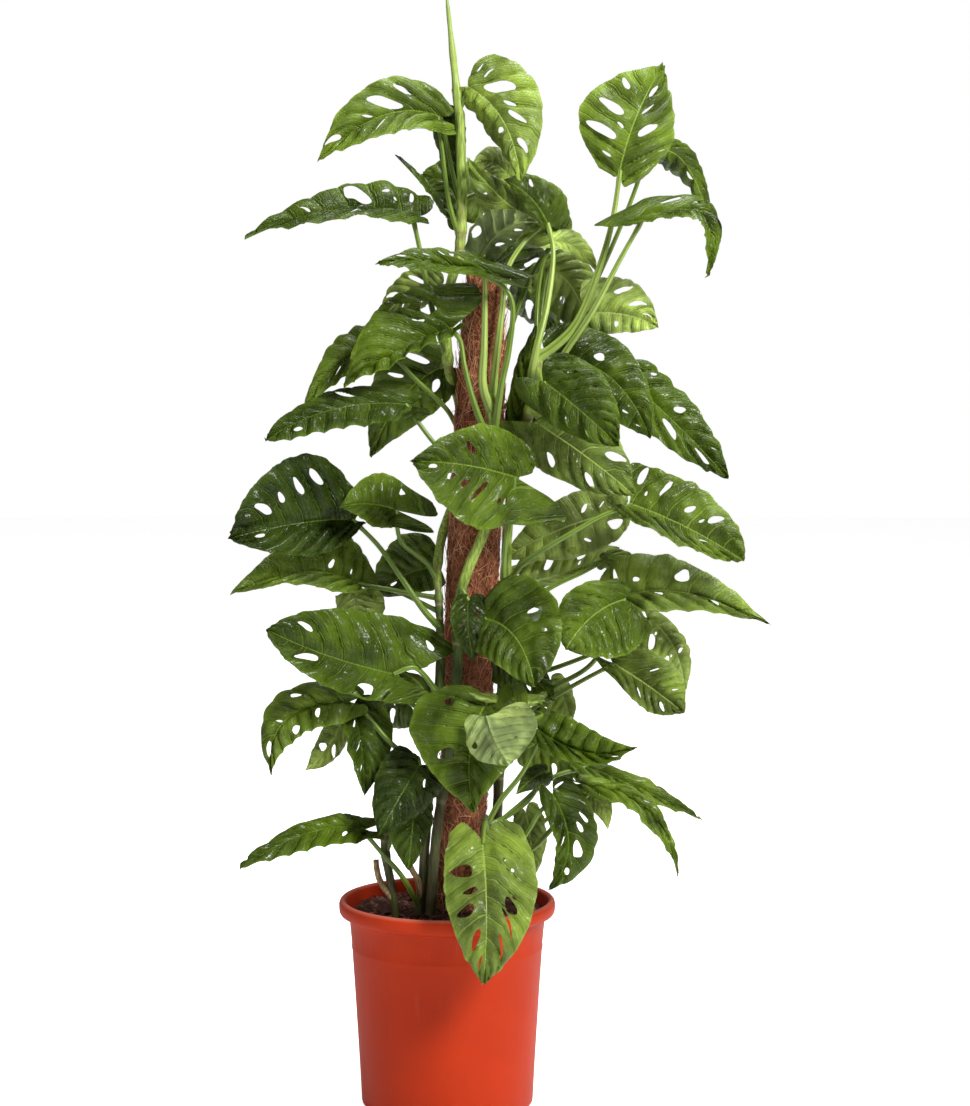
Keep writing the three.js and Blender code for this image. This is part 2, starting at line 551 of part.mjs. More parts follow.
    left: [32, 14], right: [8, 8], windows: ['OO', ''], tone: 'deep' },
  { name: 'leaf_43', vine: 'c', foot: 516, thick: 3.2,
    stalk: [[182, 564, -8], [150, 544, 2], [110, 528, 10]],
    rib: [[192, 571, -14], [258, 612, -30], [357, 545, -44]],
    left: [38, 22], right: [30, -20], windows: ['OOO', '-o-'], broad: 1.2 },
  { name: 'leaf_44', vine: 'c', foot: 500, thick: 3, stalk: [[186, 572, -34], [130, 530, -20], [90, 512, -2]],
    rib: [[198, 580, -60], [170, 566, -82], [134, 518, -92]],
    left: [50, -6], right: [34, 18], windows: ['', ''], full: 0.7, tone: 'bright' },
  { name: 'leaf_45', vine: 'c', foot: 424, thick: 3,
    stalk: [[150, 488, -32], [124, 474, -28], [92, 454, -12]],
    rib: [[178, 501, -38], [222, 490, -56], [265, 449, -66]],
    left: [36, 14], right: [28, -8], windows: ['--', '-o'], broad: 0.8, full: 0.8, lobe: 1.8, tone: 'bright' },
  { name: 'leaf_46', vine: 'c', foot: 480, stalk: [[190, 530, 8], [120, 500, 20]],
    rib: [[222, 556, 4], [264, 540, -6], [262, 476, -12]],
    left: [14, 10], right: [30, -4], windows: ['', 'OO'], full: 0.8 },
  { name: 'leaf_47', vine: 'b', foot: 540, thick: 3,
    rib: [[42, 554, -66], [92, 544, -92], [103, 466, -104]],
    left: [50, 14], right: [38, 6], windows: ['O', ''], full: 0.8, tone: 'bright' },
  { name: 'leaf_48', vine: 'b', foot: 440, thick: 3.2, stalk: [[44, 452, -70]],
    rib: [[48, 454, -88], [-5, 417, -112], [28, 326, -126]],
    left: [66, -6], right: [66, 18], windows: ['o-o', 'o-'], shoulder: 0.25, full: 0.9, tone: 'bright' },
  { name: 'leaf_49', vine: 'c', foot: 444,
    stalk: [[84, 440, -122], [104, 446, -96], [98, 450, -70], [80, 447, -30]],
    rib: [[48, 440, -138], [60, 420, -154], [67, 382, -166]],
    left: [46, -10], right: [38, 12], windows: ['', 'o'], lobe: 3, broad: 0.7, full: 0.7, tone: 'young' },
  // low right
  { name: 'leaf_50', vine: 'f', foot: 440, fused: true, stalk: [[80, 466, 40]],
    rib: [[112, 484, 36], [138, 476, 34], [136, 436, 30]],
    left: [12, 8], right: [22, 8], windows: ['', ''], tone: 'deep' },
  { name: 'leaf_51', vine: 'e', foot: 330, thick: 3, stalk: [[84, 384, -60], [58, 350, -52]],
    rib: [[102, 428, -62], [164, 396, -80], [213, 418, -96]],
    left: [28, 14], right: [18, -16], windows: ['oo', 'o'], tone: 'deep' },
  { name: 'leaf_52', vine: 'e', foot: 322, thick: 2.8, stalk: [[118, 378, -24], [80, 346, -36]],
    rib: [[152, 394, -14], [216, 382, -22], [281, 336, -30]],
    left: [11, 26], right: [12, -14], windows: ['', ''], tone: 'bright' },
  { name: 'leaf_53', vine: 'e', foot: 308, thick: 3, stalk: [[125, 330, -64], [88, 294, -62]],
    rib: [[162, 366, -64], [248, 364, -82], [250, 270, -100]],
    left: [13, 14], right: [13, -22], windows: ['-', ''], tone: 'bright' },
  { name: 'leaf_54', vine: 'e', foot: 300, fused: true, stalk: [[110, 330, -6], [70, 300, -20]],
    rib: [[148, 360, 4], [172, 356, 0], [178, 322, -4]],
    left: [12, 10], right: [14, 6], windows: ['', ''], tone: 'pale' },
  { name: 'leaf_55', vine: 'e', foot: 290, stalk: [[104, 340, -86], [80, 304, -78]],
    rib: [[126, 354, -84], [140, 306, -92], [112, 257, -96]],
    left: [36, 12], right: [18, -8], windows: ['OO-', 'o'] },
  { name: 'leaf_56', vine: 'e', foot: 276, fused: true, stalk: [[72, 300, -30]],
    rib: [[88, 334, -34], [96, 300, -40], [94, 262, -40]],
    left: [18, 6], right: [16, 6], windows: ['', ''], tone: 'bright' },
  { name: 'leaf_57', vine: 'e', foot: 314, thick: 3.4, stalk: [[42, 326, -78]],
    rib: [[40, 306, -104], [48, 230, -150], [40, 145, -142]],
    left: [57, 8], right: [46, 8], windows: ['O-OO-', 'O-OO'], full: 0.85, tone: 'pale' },
  // back
  { name: 'leaf_58', vine: 'f', foot: 740, rib: [[44, 745, 84], [44, 730, 150], [34, 690, 210]],
    left: [42, 8], right: [40, 8], windows: ['OO', 'OO'] },
  { name: 'leaf_59', vine: 'f', foot: 470, rib: [[34, 446, 84], [40, 430, 140], [24, 360, 200]],
    left: [40, 10], right: [38, 10], windows: ['OO', 'OO'] },
  { name: 'leaf_60', vine: 'f', foot: 600, rib: [[62, 560, 90], [80, 560, 140], [88, 498, 200]],
    left: [38, 10], right: [36, 10], windows: ['OO', 'OO'] },
  { name: 'leaf_61', vine: 'f', foot: 700, stalk: [[80, 800, 80]],
    rib: [[112, 822, 84], [136, 800, 140], [150, 736, 200]],
    left: [36, 12], right: [38, 10], windows: ['OO', 'OO'] },
  { name: 'leaf_62', vine: 'f', foot: 750, stalk: [[52, 880, 80], [50, 800, 62]],
    rib: [[52, 940, 76], [92, 936, 120], [104, 876, 176]],
    left: [34, 10], right: [36, 10], windows: ['OO', 'OO'] },
  { name: 'leaf_63', vine: 'c', foot: 820, fused: true, stalk: [[104, 900, 44], [100, 850, 20]],
    rib: [[108, 936, 56], [152, 930, 60], [160, 858, 62]],
    left: [26, 12], right: [30, 10], windows: ['', 'o'], tone: 'deep' },
  { name: 'leaf_64', vine: 'c', foot: 380, fused: true, stalk: [[76, 404, 24]],
    rib: [[94, 418, 24], [136, 410, 28], [152, 370, 30]],
    left: [22, 12], right: [26, 10], windows: ['', 'o'], tone: 'deep' },
  { name: 'leaf_65', vine: 'c', foot: 556, fused: true, thick: 3, stalk: [[150, 606, 12], [120, 592, 12]],
    rib: [[173, 617, 8], [198, 622, 8], [184, 572, 14]],
    left: [12, 10], right: [12, 6], windows: ['', ''], tone: 'deep' },
  { name: 'leaf_66', vine: 'a', foot: 452, fused: true,
    rib: [[-22, 470, -26], [-36, 488, -30], [-56, 494, -34]],
    left: [14, 10], right: [8, 8], windows: ['', ''], tone: 'bright' },
  { name: 'leaf_67', vine: 'c', foot: 470, fused: true, stalk: [[104, 458, -60]],
    rib: [[103, 463, -88], [64, 456, -96], [24, 472, -98]],
    left: [5, 8], right: [8, 12], windows: ['', ''], tone: 'young' },
];

// Drops crumbs and the small voids left where a stalk runs close to its blade.
function whole(solid) {
  const crumb = 20;
  return wasm.Manifold.union(solid.decompose().filter((piece) => piece.volume() > crumb));
}

for (const row of LEAVES) {
  const leaf = { ...LEAF_DEFAULTS, ...row };
  const vine = VINES[leaf.vine];
  const solid = toManifold(bladeGeometry(leaf)).add(toManifold(stalkGeometry(leaf)));
  if (leaf.fused) vine.solid = vine.solid.add(solid);
  else add(leaf.name, toGeometry(whole(solid.subtract(vine.clear))), TONES[leaf.tone], 0.45);
}

for (const [letter, vine] of Object.entries(VINES)) {
  add(`vine_${letter}`, toGeometry(whole(vine.solid)), 0x5a7a2e, 0.6);
}

// ---------------------------------------------------------------- soil

// The potting mix fills the pot, with a plain hole for the pole and each vine.
function soilGeometry() {
  const slope = (POT.neckRadius - POT.footRadius) / (POT.height - POT.rimBand + 2 - POT.floor);
  const radiusAt = (up) => POT.footRadius - POT.wall - SOIL.play + slope * (up - POT.floor);
  const profile = [[0, POT.floor + GAP], [radiusAt(POT.floor), POT.floor + GAP]];
  for (let i = 0; i <= SOIL.rows; i++) {
    const part = 1 - i / SOIL.rows;
    profile.push([radiusAt(SOIL.top - 8) * part, SOIL.top + SOIL.crown * (1 - part ** 2)]);
  }
  let soil = toManifold(turned(profile, SOIL.sides));
  soil = soil.subtract(toManifold(coirSleeve(GAP))).subtract(toManifold(core(GAP)));
  for (const vine of Object.values(VINES)) soil = soil.subtract(vine.clear);
  return toGeometry(soil);
}

add('soil', soilGeometry(), 0x3b2418, 1);

export default group;
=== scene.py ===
# Monstera adansonii on a coir pole in a 24 cm nursery pot.
# The dressed part: the solids come as a fixed frame, and each visible piece below
# replaces the node or nodes that it stands for. Metres, +Z up.
import random
from math import atan2, cos, hypot, pi, radians, sin

import bpy
import numpy as np
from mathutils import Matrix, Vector, noise
from mathutils.geometry import delaunay_2d_cdt


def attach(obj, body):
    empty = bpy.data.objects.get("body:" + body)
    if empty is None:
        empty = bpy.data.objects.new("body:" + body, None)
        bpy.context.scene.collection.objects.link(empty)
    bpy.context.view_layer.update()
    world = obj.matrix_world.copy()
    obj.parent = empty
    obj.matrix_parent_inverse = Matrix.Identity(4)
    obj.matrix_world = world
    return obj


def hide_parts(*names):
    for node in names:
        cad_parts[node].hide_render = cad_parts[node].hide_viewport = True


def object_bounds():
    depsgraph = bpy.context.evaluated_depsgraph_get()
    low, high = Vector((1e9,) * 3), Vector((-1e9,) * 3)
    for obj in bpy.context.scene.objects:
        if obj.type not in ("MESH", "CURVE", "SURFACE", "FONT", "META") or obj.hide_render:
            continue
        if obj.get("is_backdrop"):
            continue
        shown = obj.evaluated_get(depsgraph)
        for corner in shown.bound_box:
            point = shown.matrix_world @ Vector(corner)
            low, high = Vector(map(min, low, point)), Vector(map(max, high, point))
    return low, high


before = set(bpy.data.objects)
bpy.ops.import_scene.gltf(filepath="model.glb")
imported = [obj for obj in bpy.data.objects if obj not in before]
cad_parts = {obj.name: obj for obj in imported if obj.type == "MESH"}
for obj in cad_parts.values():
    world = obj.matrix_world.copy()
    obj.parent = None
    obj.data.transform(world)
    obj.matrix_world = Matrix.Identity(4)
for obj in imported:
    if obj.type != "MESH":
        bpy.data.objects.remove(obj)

cad_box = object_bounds()
bpy.ops.object.select_all(action="DESELECT")

MM = 0.001

# ------------------------------------------------------------------ pot
# A thin-walled nursery pot, injection moulded in brick-red polypropylene, with a
# rolled rim band, a faint stacking ring below it and a stepped heel whose edge
# is notched for drainage. It stands on its flat foot.
POT_SIDES = 128
POT_OUTSIDE = [  # radius and height in mm, up the outside
    (89.6, 0), (91, 1.2), (91.6, 9.6), (92.4, 11.4), (95, 13.2), (95.5, 15),
    (97.8, 60), (102.6, 140), (105.6, 186), (106.2, 188.2), (106.2, 190.4), (105.9, 192),
    (108.4, 219), (109.8, 222.4), (115.2, 224.6), (118.4, 226.2), (119.6, 228.6),
    (120, 232), (120, 236.6), (119.2, 239.6), (117.6, 241.4), (115.6, 242)]
POT_INSIDE = [  # and down the inside
    (113.8, 241.2), (112.6, 239.6), (111.6, 237), (106.6, 221), (105.6, 214),
    (95.2, 60), (89.2, 8), (87.4, 5.4), (83, 5)]
DRAINS = 8
DRAIN_REACH = 91  # from the pot's middle, in mm
DRAIN_SIZE = (30, 12, 10)


def drawn_up(rings, sides):
    """A round body drawn up from a disc, one ring (radius, height) at a time."""
    radius, height = rings[0]
    bpy.ops.mesh.primitive_circle_add(
        vertices=sides, radius=radius * MM, fill_type="NGON", location=(0, 0, height * MM))
    body = bpy.context.object
    bpy.ops.object.transform_apply(location=True, rotation=False, scale=False)
    bpy.ops.object.mode_set(mode="EDIT")
    bpy.ops.mesh.select_all(action="SELECT")
    for (radius, height), (next_radius, next_height) in zip(rings, rings[1:]):
        rise = (0, 0, (next_height - height) * MM)
        bpy.ops.mesh.extrude_region_move(TRANSFORM_OT_translate={"value": rise})
        share = next_radius / radius
        bpy.ops.transform.resize(value=(share, share, 1), center_override=(0, 0, next_height * MM))
    bpy.ops.mesh.select_all(action="SELECT")
    bpy.ops.mesh.normals_make_consistent(inside=False)
    bpy.ops.object.mode_set(mode="OBJECT")
    return body


def cut_drains(pot):
    """Notches through the heel, so that water runs out under the edge."""
    reach = DRAIN_REACH * MM
    cutters = []
    for i in range(DRAINS):
        turn = (i + 0.5) / DRAINS * 2 * pi
        bpy.ops.mesh.primitive_cube_add(
            size=1, location=(reach * cos(turn), reach * sin(turn), 0), rotation=(0, 0, turn))
        cutter = bpy.context.object
        cutter.dimensions = [length * MM for length in DRAIN_SIZE]
        cutters.append(cutter)
    bpy.ops.object.select_all(action="DESELECT")
    for cutter in cutters:
        cutter.select_set(True)
    bpy.context.view_layer.objects.active = cutters[0]
    bpy.ops.object.join()
    bpy.ops.object.transform_apply(location=True, rotation=True, scale=True)
    cutter = bpy.context.object
    bpy.ops.object.select_all(action="DESELECT")
    bpy.context.view_layer.objects.active = pot
    pot.select_set(True)
    cut = pot.modifiers.new("drains", "BOOLEAN")
    cut.object = cutter
    cut.solver = "EXACT"
    bpy.ops.object.modifier_apply(modifier=cut.name)
    bpy.data.objects.remove(cutter)


def finish(name, roughness, specular=0.5):
    """A new procedural material, its shader, and the functions that add and wire its nodes."""
    material = bpy.data.materials.new(name)
    material.use_nodes = True
    tree = material.node_tree
    shader = tree.nodes["Principled BSDF"]
    shader.inputs["Roughness"].default_value = roughness
    shader.inputs["Specular IOR Level"].default_value = specular

    def node(kind, values=(), **settings):
        made = tree.nodes.new("ShaderNode" + kind)
        for key, value in settings.items():
            setattr(made, key, value)
        for key, value in dict(values).items():
            if isinstance(value, bpy.types.NodeSocket):
                tree.links.new(value, made.inputs[key])
            else:
                made.inputs[key].default_value = value
        return made
    return material, shader, node, tree.links.new


def ramp_node(node, value, stops):
    """A colour ramp over a value; stops are (place, colour)."""
    made = node("ValToRGB", {"Fac": value})
    elements = made.color_ramp.elements
    while len(elements) < len(stops):
        elements.new(1)
    for element, (at, colour) in zip(elements, stops):
        element.position = at
        element.color = (*colour, 1)
    return made.outputs["Color"]


def grey(value):
    """A colour with no hue."""
    return (value, value, value)


def blend(node, share, low, high):
    """Mixes two colours, each a socket or three numbers, by a share."""
    full = [c if isinstance(c, bpy.types.NodeSocket) else (*c, 1) for c in (low, high)]
    return node("Mix", {0: share, 6: full[0], 7: full[1]}, data_type="RGBA").outputs[2]


def noise_of(node, place, scale, detail, **more):
    """Cloudy noise over a place, as one number."""
    return node("TexNoise", {"Vector": place, "Scale": scale, "Detail": detail, **more}).outputs["Fac"]


def stretched(node, place, scale):
    """A place measured finer or coarser along each axis."""
    return node("Mapping", {"Vector": place, "Scale": scale}).outputs["Vector"]


def spanned(node, value, span, to=(0, 1), **settings):
    """Maps a span of a value to another span and holds it there."""
    ends = zip(("From Min", "From Max", "To Min", "To Max"), (*span, *to))
    return node("MapRange", {"Value": value, **dict(ends)}, **settings).outputs["Result"]


def maths(node, operation, *terms, **settings):
    """One step of arithmetic on sockets or numbers."""
    return node("Math", dict(enumerate(terms)), operation=operation, **settings).outputs[0]


def roughen(node, link, shader, height, strength, depth):
    """Lets a height, over a depth in metres, tilt the surface that the light meets."""
    bump = node("Bump", {"Height": height, "Strength": strength, "Distance": depth})
    link(bump.outputs["Normal"], shader.inputs["Normal"])


def brick_red_plastic():
    """Satin polypropylene: faint flow mottling, dusty scuffs and a lighter band round the top of the
    rim.
    """
    material, shader, node, link = finish("brick_red_plastic", 0.5, 0.12)
    place = node("TexCoord").outputs["Object"]
    cloudy = noise_of(node, place, 9, 3)
    fine = noise_of(node, place, 900, 2)
    drawn = stretched(node, place, (60, 60, 4))
    scuffs = noise_of(node, drawn, 3, 6)
    body = ramp_node(node, cloudy, [(0.3, (0.36, 0.024, 0.003)), (0.7, (0.43, 0.030, 0.004))])
    dusty = ramp_node(node, scuffs, [(0.62, grey(0)), (0.8, grey(0.10))])
    mixed = blend(node, dusty, body, (0.60, 0.17, 0.10))
    height = node("SeparateXYZ", {"Vector": place}).outputs["Z"]
    # The top few millimetres of the rim are blended to a lighter, pinker red.
    rim = spanned(node, height, (0.2385, 0.2418), (0.0, 0.5))
    link(blend(node, rim, mixed, (0.60, 0.21, 0.16)), shader.inputs["Base Color"])
    link(spanned(node, scuffs, (0, 1), (0.4, 0.58)), shader.inputs["Roughness"])
    roughen(node, link, shader, fine, 0.06, 0.0004)
    return material


pot = drawn_up(POT_OUTSIDE + POT_INSIDE, POT_SIDES)
cut_drains(pot)
pot.name = "nursery_pot"
bpy.ops.object.shade_smooth_by_angle(angle=radians(38))
pot.data.materials.append(brick_red_plastic())
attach(pot, "root")
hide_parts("pot")
bpy.ops.object.select_all(action="DESELECT")

# ------------------------------------------------------------------ soil
# Dark peat mixed with bark, poured in and settled just below the rim. The peat is
# one lumpy body, and the bark is loose chips half sunk in it.
SOIL_TOP = 229
SOIL_CROWN = 3  # how much higher the middle stands, in mm
SOIL_RADIUS = 106.4


def peat_and_bark():
    """Damp dark peat, mottled, with pale flecks of bark and fibre."""
    material, shader, node, link = finish("peat_and_bark", 0.95, 0.25)
    place = node("TexCoord").outputs["Object"]
    lumps = noise_of(node, place, 160, 5)
    chips = node("TexVoronoi", {"Vector": place, "Scale": 260}).outputs["Distance"]
    colour = ramp_node(node, lumps, [(0.3, (0.016, 0.006, 0.004)), (0.55, (0.060, 0.020, 0.012)),
                                     (0.75, (0.14, 0.055, 0.034))])
    link(colour, shader.inputs["Base Color"])
    both = maths(node, "MULTIPLY", lumps, chips)
    roughen(node, link, shader, both, 0.9, 0.003)
    return material


def poured_soil():
    """Fills the pot, then lumps the top by noise."""
    sides = [(82, 5.6), (96, 110), (104, 205), (SOIL_RADIUS - 0.4, SOIL_TOP - 6),
             (SOIL_RADIUS - 0.6, SOIL_TOP - 3)]
    rings = 38
    across = []
    for i in range(rings):
        share = 1 - i / rings
        across.append((SOIL_RADIUS * share * 0.985, SOIL_TOP + SOIL_CROWN * (1 - share ** 2)))
    soil = drawn_up(sides + across, 120)
    for vertex in soil.data.vertices:
        if vertex.co.z > (SOIL_TOP - 5) * MM:
            lump = noise.fractal(vertex.co * 90, 0.8, 2.2, 4)
            vertex.co.z += lump * 2.6 * MM - 0.8 * MM
    return soil


def bark_chips(count, seed):
    """Flat splinters strewn over the soil, made as one mesh."""
    dice = random.Random(seed)
    bpy.ops.mesh.primitive_ico_sphere_add(subdivisions=1, radius=1)
    pebble = bpy.context.object
    base = [v.co.copy() for v in pebble.data.vertices]
    faces = [tuple(p.vertices) for p in pebble.data.polygons]
    bpy.data.objects.remove(pebble)
    points, polygons = [], []
    for _ in range(count):
        reach = (SOIL_RADIUS - 5) * dice.random() ** 0.5
        turn = dice.uniform(0, 2 * pi)
        size = (dice.uniform(2, 6.5), dice.uniform(1.2, 3), dice.uniform(0.5, 1.4))
        yaw, tip = dice.uniform(0, 2 * pi), dice.uniform(-0.5, 0.5)
        up = SOIL_TOP + SOIL_CROWN * (1 - (reach / SOIL_RADIUS) ** 2) + dice.uniform(-1, 1)
        start = len(points)
        for co in base:
            jag = 1 + 0.3 * dice.uniform(-1, 1)
            x, y, z = (co[i] * size[i] * jag for i in range(3))
            x, z = x * cos(tip) - z * sin(tip), x * sin(tip) + z * cos(tip)
            x, y = x * cos(yaw) - y * sin(yaw), x * sin(yaw) + y * cos(yaw)
            x, y = reach * cos(turn) + x, reach * sin(turn) + y
            points.append((x * MM, y * MM, (up + z) * MM))
        polygons += [tuple(i + start for i in face) for face in faces]
    return points, polygons


def mesh_piece(name, points, faces, material, node_names, slot_name, smooth=True):
    """A finished mesh that rides on the plant and stands for the nodes named."""
    mesh = bpy.data.meshes.new(name)
    mesh.from_pydata([tuple(p) for p in points], [], [tuple(f) for f in faces])
    mesh.update()
    mesh.polygons.foreach_set("use_smooth", [smooth] * len(mesh.polygons))
    piece = bpy.data.objects.new(name, mesh)
    bpy.context.scene.collection.objects.link(piece)
    mesh.materials.append(material)
    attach(piece, "root")
    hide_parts(*node_names)
    return piece


def bark():
    """Composted pine bark: red-brown to grey-brown, rough and dry."""
    material, shader, node, link = finish("bark", 0.9, 0.3)
    place = node("TexCoord").outputs["Object"]
    patch = node("TexVoronoi", {"Vector": place, "Scale": 130}).outputs["Color"]
    value = node("SeparateColor", {"Color": patch}).outputs["Red"]
    grain = noise_of(node, place, 900, 3)
    colour = ramp_node(node, value, [(0.1, (0.040, 0.014, 0.009)), (0.5, (0.10, 0.036, 0.022)),
                                     (0.9, (0.20, 0.085, 0.055))])
    link(colour, shader.inputs["Base Color"])
    roughen(node, link, shader, grain, 0.6, 0.0008)
    return material


soil = poured_soil()
soil.name = "potting_soil"
soil.data.polygons.foreach_set("use_smooth", [True] * len(soil.data.polygons))
soil.data.materials.append(peat_and_bark())
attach(soil, "root")
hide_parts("soil")
chips = bark_chips(count=420, seed=11)
mesh_piece("bark_chips", *chips, bark(), ["soil"], "soil", smooth=False)
bpy.ops.object.select_all(action="DESELECT")

# ------------------------------------------------------------------ pole
# A coir pole: a dark plastic tube stood in the pot, wrapped in a mat of coconut
# fibre that swells in the middle and frays. It leans a little to the right.
POLE_FOOT = Vector((3.6, 0, 12))
POLE_TOP = Vector((43.2, 0, 952))
COIR = [  # height along the pole and radius there, in mm
    (40, 25), (205, 25), (450, 28), (620, 29.5), (760, 28), (870, 24), (930, 20.5), (947, 18)]
SLEEVE_FOOT = 42
SLEEVE_TOP = 945
CORE_RADIUS = 11
pole_lean = atan2(POLE_TOP.x - POLE_FOOT.x, POLE_TOP.z - POLE_FOOT.z)


def on_pole(radius, turn, up):
    """A point beside the leaning pole, in mm; up is measured along it."""
    across = radius * cos(turn)
    rise = up - POLE_FOOT.z
    return Vector((POLE_FOOT.x + across * cos(pole_lean) + rise * sin(pole_lean),
                   radius * sin(turn),
                   POLE_FOOT.z - across * sin(pole_lean) + rise * cos(pole_lean)))


def coir_radius(up):
    """How far the fibre reaches out at a height along the pole."""
    return float(np.interp(up, [c[0] for c in COIR], [c[1] for c in COIR]))


def black_tube():
    """Dull black recycled plastic."""
    material, shader, node, link = finish("black_tube", 0.55)
    place = node("TexCoord").outputs["Object"]
    streak = noise_of(node, place, 300, 3)
    link(ramp_node(node, streak, [(0.3, grey(0.012)), (0.8, grey(0.03))]), shader.inputs["Base Color"])
    roughen(node, link, shader, streak, 0.2, 0.0005)
    return material


def coconut_fibre():
    """Red-brown husk fibre; the first UV number picks each strand's shade."""
    material, shader, node, link = finish("coconut_fibre", 0.8, 0.3)
    strand = node("UVMap", uv_map="strand").outputs["UV"]
    shade = node("SeparateXYZ", {"Vector": strand}).outputs["X"]
    place = node("TexCoord").outputs["Object"]
    patch = noise_of(node, place, 22, 3)
    colour = ramp_node(node, shade, [(0, (0.16, 0.040, 0.015)), (0.35, (0.42, 0.135, 0.055)),
                                     (0.75, (0.72, 0.31, 0.155)), (1, (0.88, 0.52, 0.32))])
    darker = spanned(node, patch, (0.35, 0.65), (0.35, 0.0))
    link(blend(node, darker, colour, (0.07, 0.022, 0.012)), shader.inputs["Base Color"])
    return material


def coir_backing():
    """The matted fibre under the loose strands, darker and fully rough."""
    material, shader, node, link = finish("coir_backing", 0.95, 0.2)
    place = node("TexCoord").outputs["Object"]
    drawn = stretched(node, place, (1, 1, 0.3))
    mat = noise_of(node, drawn, 420, 6, Distortion=1.5)
    colour = ramp_node(node, mat, [(0.35, (0.060, 0.018, 0.009)), (0.55, (0.29, 0.105, 0.048)),
                                   (0.72, (0.60, 0.26, 0.13))])
    link(colour, shader.inputs["Base Color"])
    roughen(node, link, shader, mat, 1.0, 0.003)
    return material


def leant(body, foot=0, swell=lambda radius, turn, up: radius):
    """Leans an upright round body with the pole; swell changes its radius."""
    for vertex in body.data.vertices:
        turn, radius = atan2(vertex.co.y, vertex.co.x), hypot(vertex.co.x, vertex.co.y) / MM
        up = vertex.co.z / MM + foot
        vertex.co = on_pole(swell(radius, turn, up), turn, up) * MM


def matted(radius, turn, up):
    """The sleeve's outside, felted unevenly; its inside stays round."""
    if radius <= CORE_RADIUS + 2:
        return radius
    lump = noise.fractal(Vector((cos(turn) * 3, sin(turn) * 3, up * 0.07)), 0.7, 2, 4)
    return radius + (-1.6 + 1.5 * lump)


core = drawn_up([(CORE_RADIUS, 0), (CORE_RADIUS, 934), (CORE_RADIUS - 1, 938.4), (8.4, 940),
                 (8, 938), (8, 900)], 40)
leant(core, foot=POLE_FOOT.z)
core.name = "pole_tube"
bpy.ops.object.shade_smooth_by_angle(angle=radians(40))
core.data.materials.append(black_tube())
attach(core, "root")
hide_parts("pole_core")
bpy.ops.object.select_all(action="DESELECT")

mat_rings = [(CORE_RADIUS + 0.4, SLEEVE_FOOT)]
mat_rings += [(coir_radius(up), up) for up in range(SLEEVE_FOOT, SLEEVE_TOP + 1, 5)]
mat_rings += [(15, SLEEVE_TOP + 0.5), (CORE_RADIUS + 0.4, SLEEVE_TOP - 1)]
sleeve = drawn_up(mat_rings, 72)
leant(sleeve, swell=matted)
sleeve.name = "coir_sleeve"
sleeve.data.polygons.foreach_set("use_smooth", [True] * len(sleeve.data.polygons))
sleeve.data.materials.append(coir_backing())
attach(sleeve, "root")
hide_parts("pole_coir")
bpy.ops.object.select_all(action="DESELECT")


def frames_along(points):
    """Two directions square to a line at each of its points, turning little."""
    tangents = np.gradient(points, axis=0)
    tangents /= np.linalg.norm(tangents, axis=1)[:, None]
    side = np.cross(tangents[0], (0.3, 0.9, 0.1))
    sides = []
    for tangent in tangents:
        side = side - tangent * np.dot(side, tangent)
        side /= np.linalg.norm(side)
        sides.append(side)
    sides = np.array(sides)
    return sides, np.cross(tangents, sides)


def swept(points, radii, sides, wavy=None):
    """A closed tube along points; wavy(turns) shapes its section."""
    points = np.array(points, float)
    across, over = frames_along(points)
    turns = np.arange(sides) / sides * 2 * pi
    section = np.ones(sides) if wavy is None else wavy(turns)
    reach = np.asarray(radii, float)[:, None] * section[None, :]
    rings = (points[:, None, :] + across[:, None, :] * (reach * np.cos(turns))[:, :, None]
             + over[:, None, :] * (reach * np.sin(turns))[:, :, None])
    count = len(points)
    vertices = np.vstack([rings.reshape(-1, 3), points[:1], points[-1:]])
    faces = []
    for i in range(count - 1):
        for k in range(sides):
            a, b = i * sides + k, i * sides + (k + 1) % sides
            faces.append((a, b, b + sides, a + sides))
    first, last = count * sides, count * sides + 1
    for k in range(sides):
        faces.append((first, (k + 1) % sides, k))
        faces.append((last, (count - 1) * sides + k, (count - 1) * sides + (k + 1) % sides))
    return vertices, faces


def loose_strands(count, seed):
    """Curved strands felted round the sleeve, some of them standing off it."""
    dice = random.Random(seed)
    points, faces, shades = [], [], []
    for _ in range(count):
        up, turn = dice.uniform(215, SLEEVE_TOP), dice.uniform(0, 2 * pi)
        heading, bend = dice.gauss(pi / 2, 0.9), dice.gauss(0, 0.6)
        length, stand = dice.uniform(12, 46), abs(dice.gauss(0, 1)) * 1.1
        stray = dice.random() < 0.1
        line = []
        for k in range(5):
            share = k / 4
            radius = coir_radius(up) - 1.2 + stand * sin(pi * share)
            if stray:
                radius += 5.5 * share ** 2
            line.append(on_pole(radius, turn, min(up, SLEEVE_TOP)))
            heading += bend / 4
            turn += length / 4 * cos(heading) / coir_radius(up)
            up += length / 4 * sin(heading)
        thick = dice.uniform(0.2, 0.5)
        vertices, quads = swept(line, [thick, thick, thick, thick, thick * 0.3], 3)
        start = len(points)
        points += [v * MM for v in vertices]
        faces += [tuple(i + start for i in quad) for quad in quads]
        shades += [dice.random()] * len(quads)
    return points, faces, shades


points, faces, shades = loose_strands(count=4200, seed=5)
strands = mesh_piece("coir_strands", points, faces, coconut_fibre(), ["pole_coir"], "coir")
shade_map = strands.data.uv_layers.new(name="strand")
values = np.zeros((len(strands.data.loops), 2), np.float32)
for polygon, shade in zip(strands.data.polygons, shades):
    values[polygon.loop_start:polygon.loop_start + polygon.loop_total] = (shade, 0.5)
shade_map.data.foreach_set("uv", values.ravel())

# ------------------------------------------------------------------ stem courses
# Six stems are rooted in the soil and climb round the pole. Where they run is laid
# down first, because every leaf stalk springs from one of them.
EYE = np.array((42, -3500, 1000))  # depths slide along lines from here, in mm


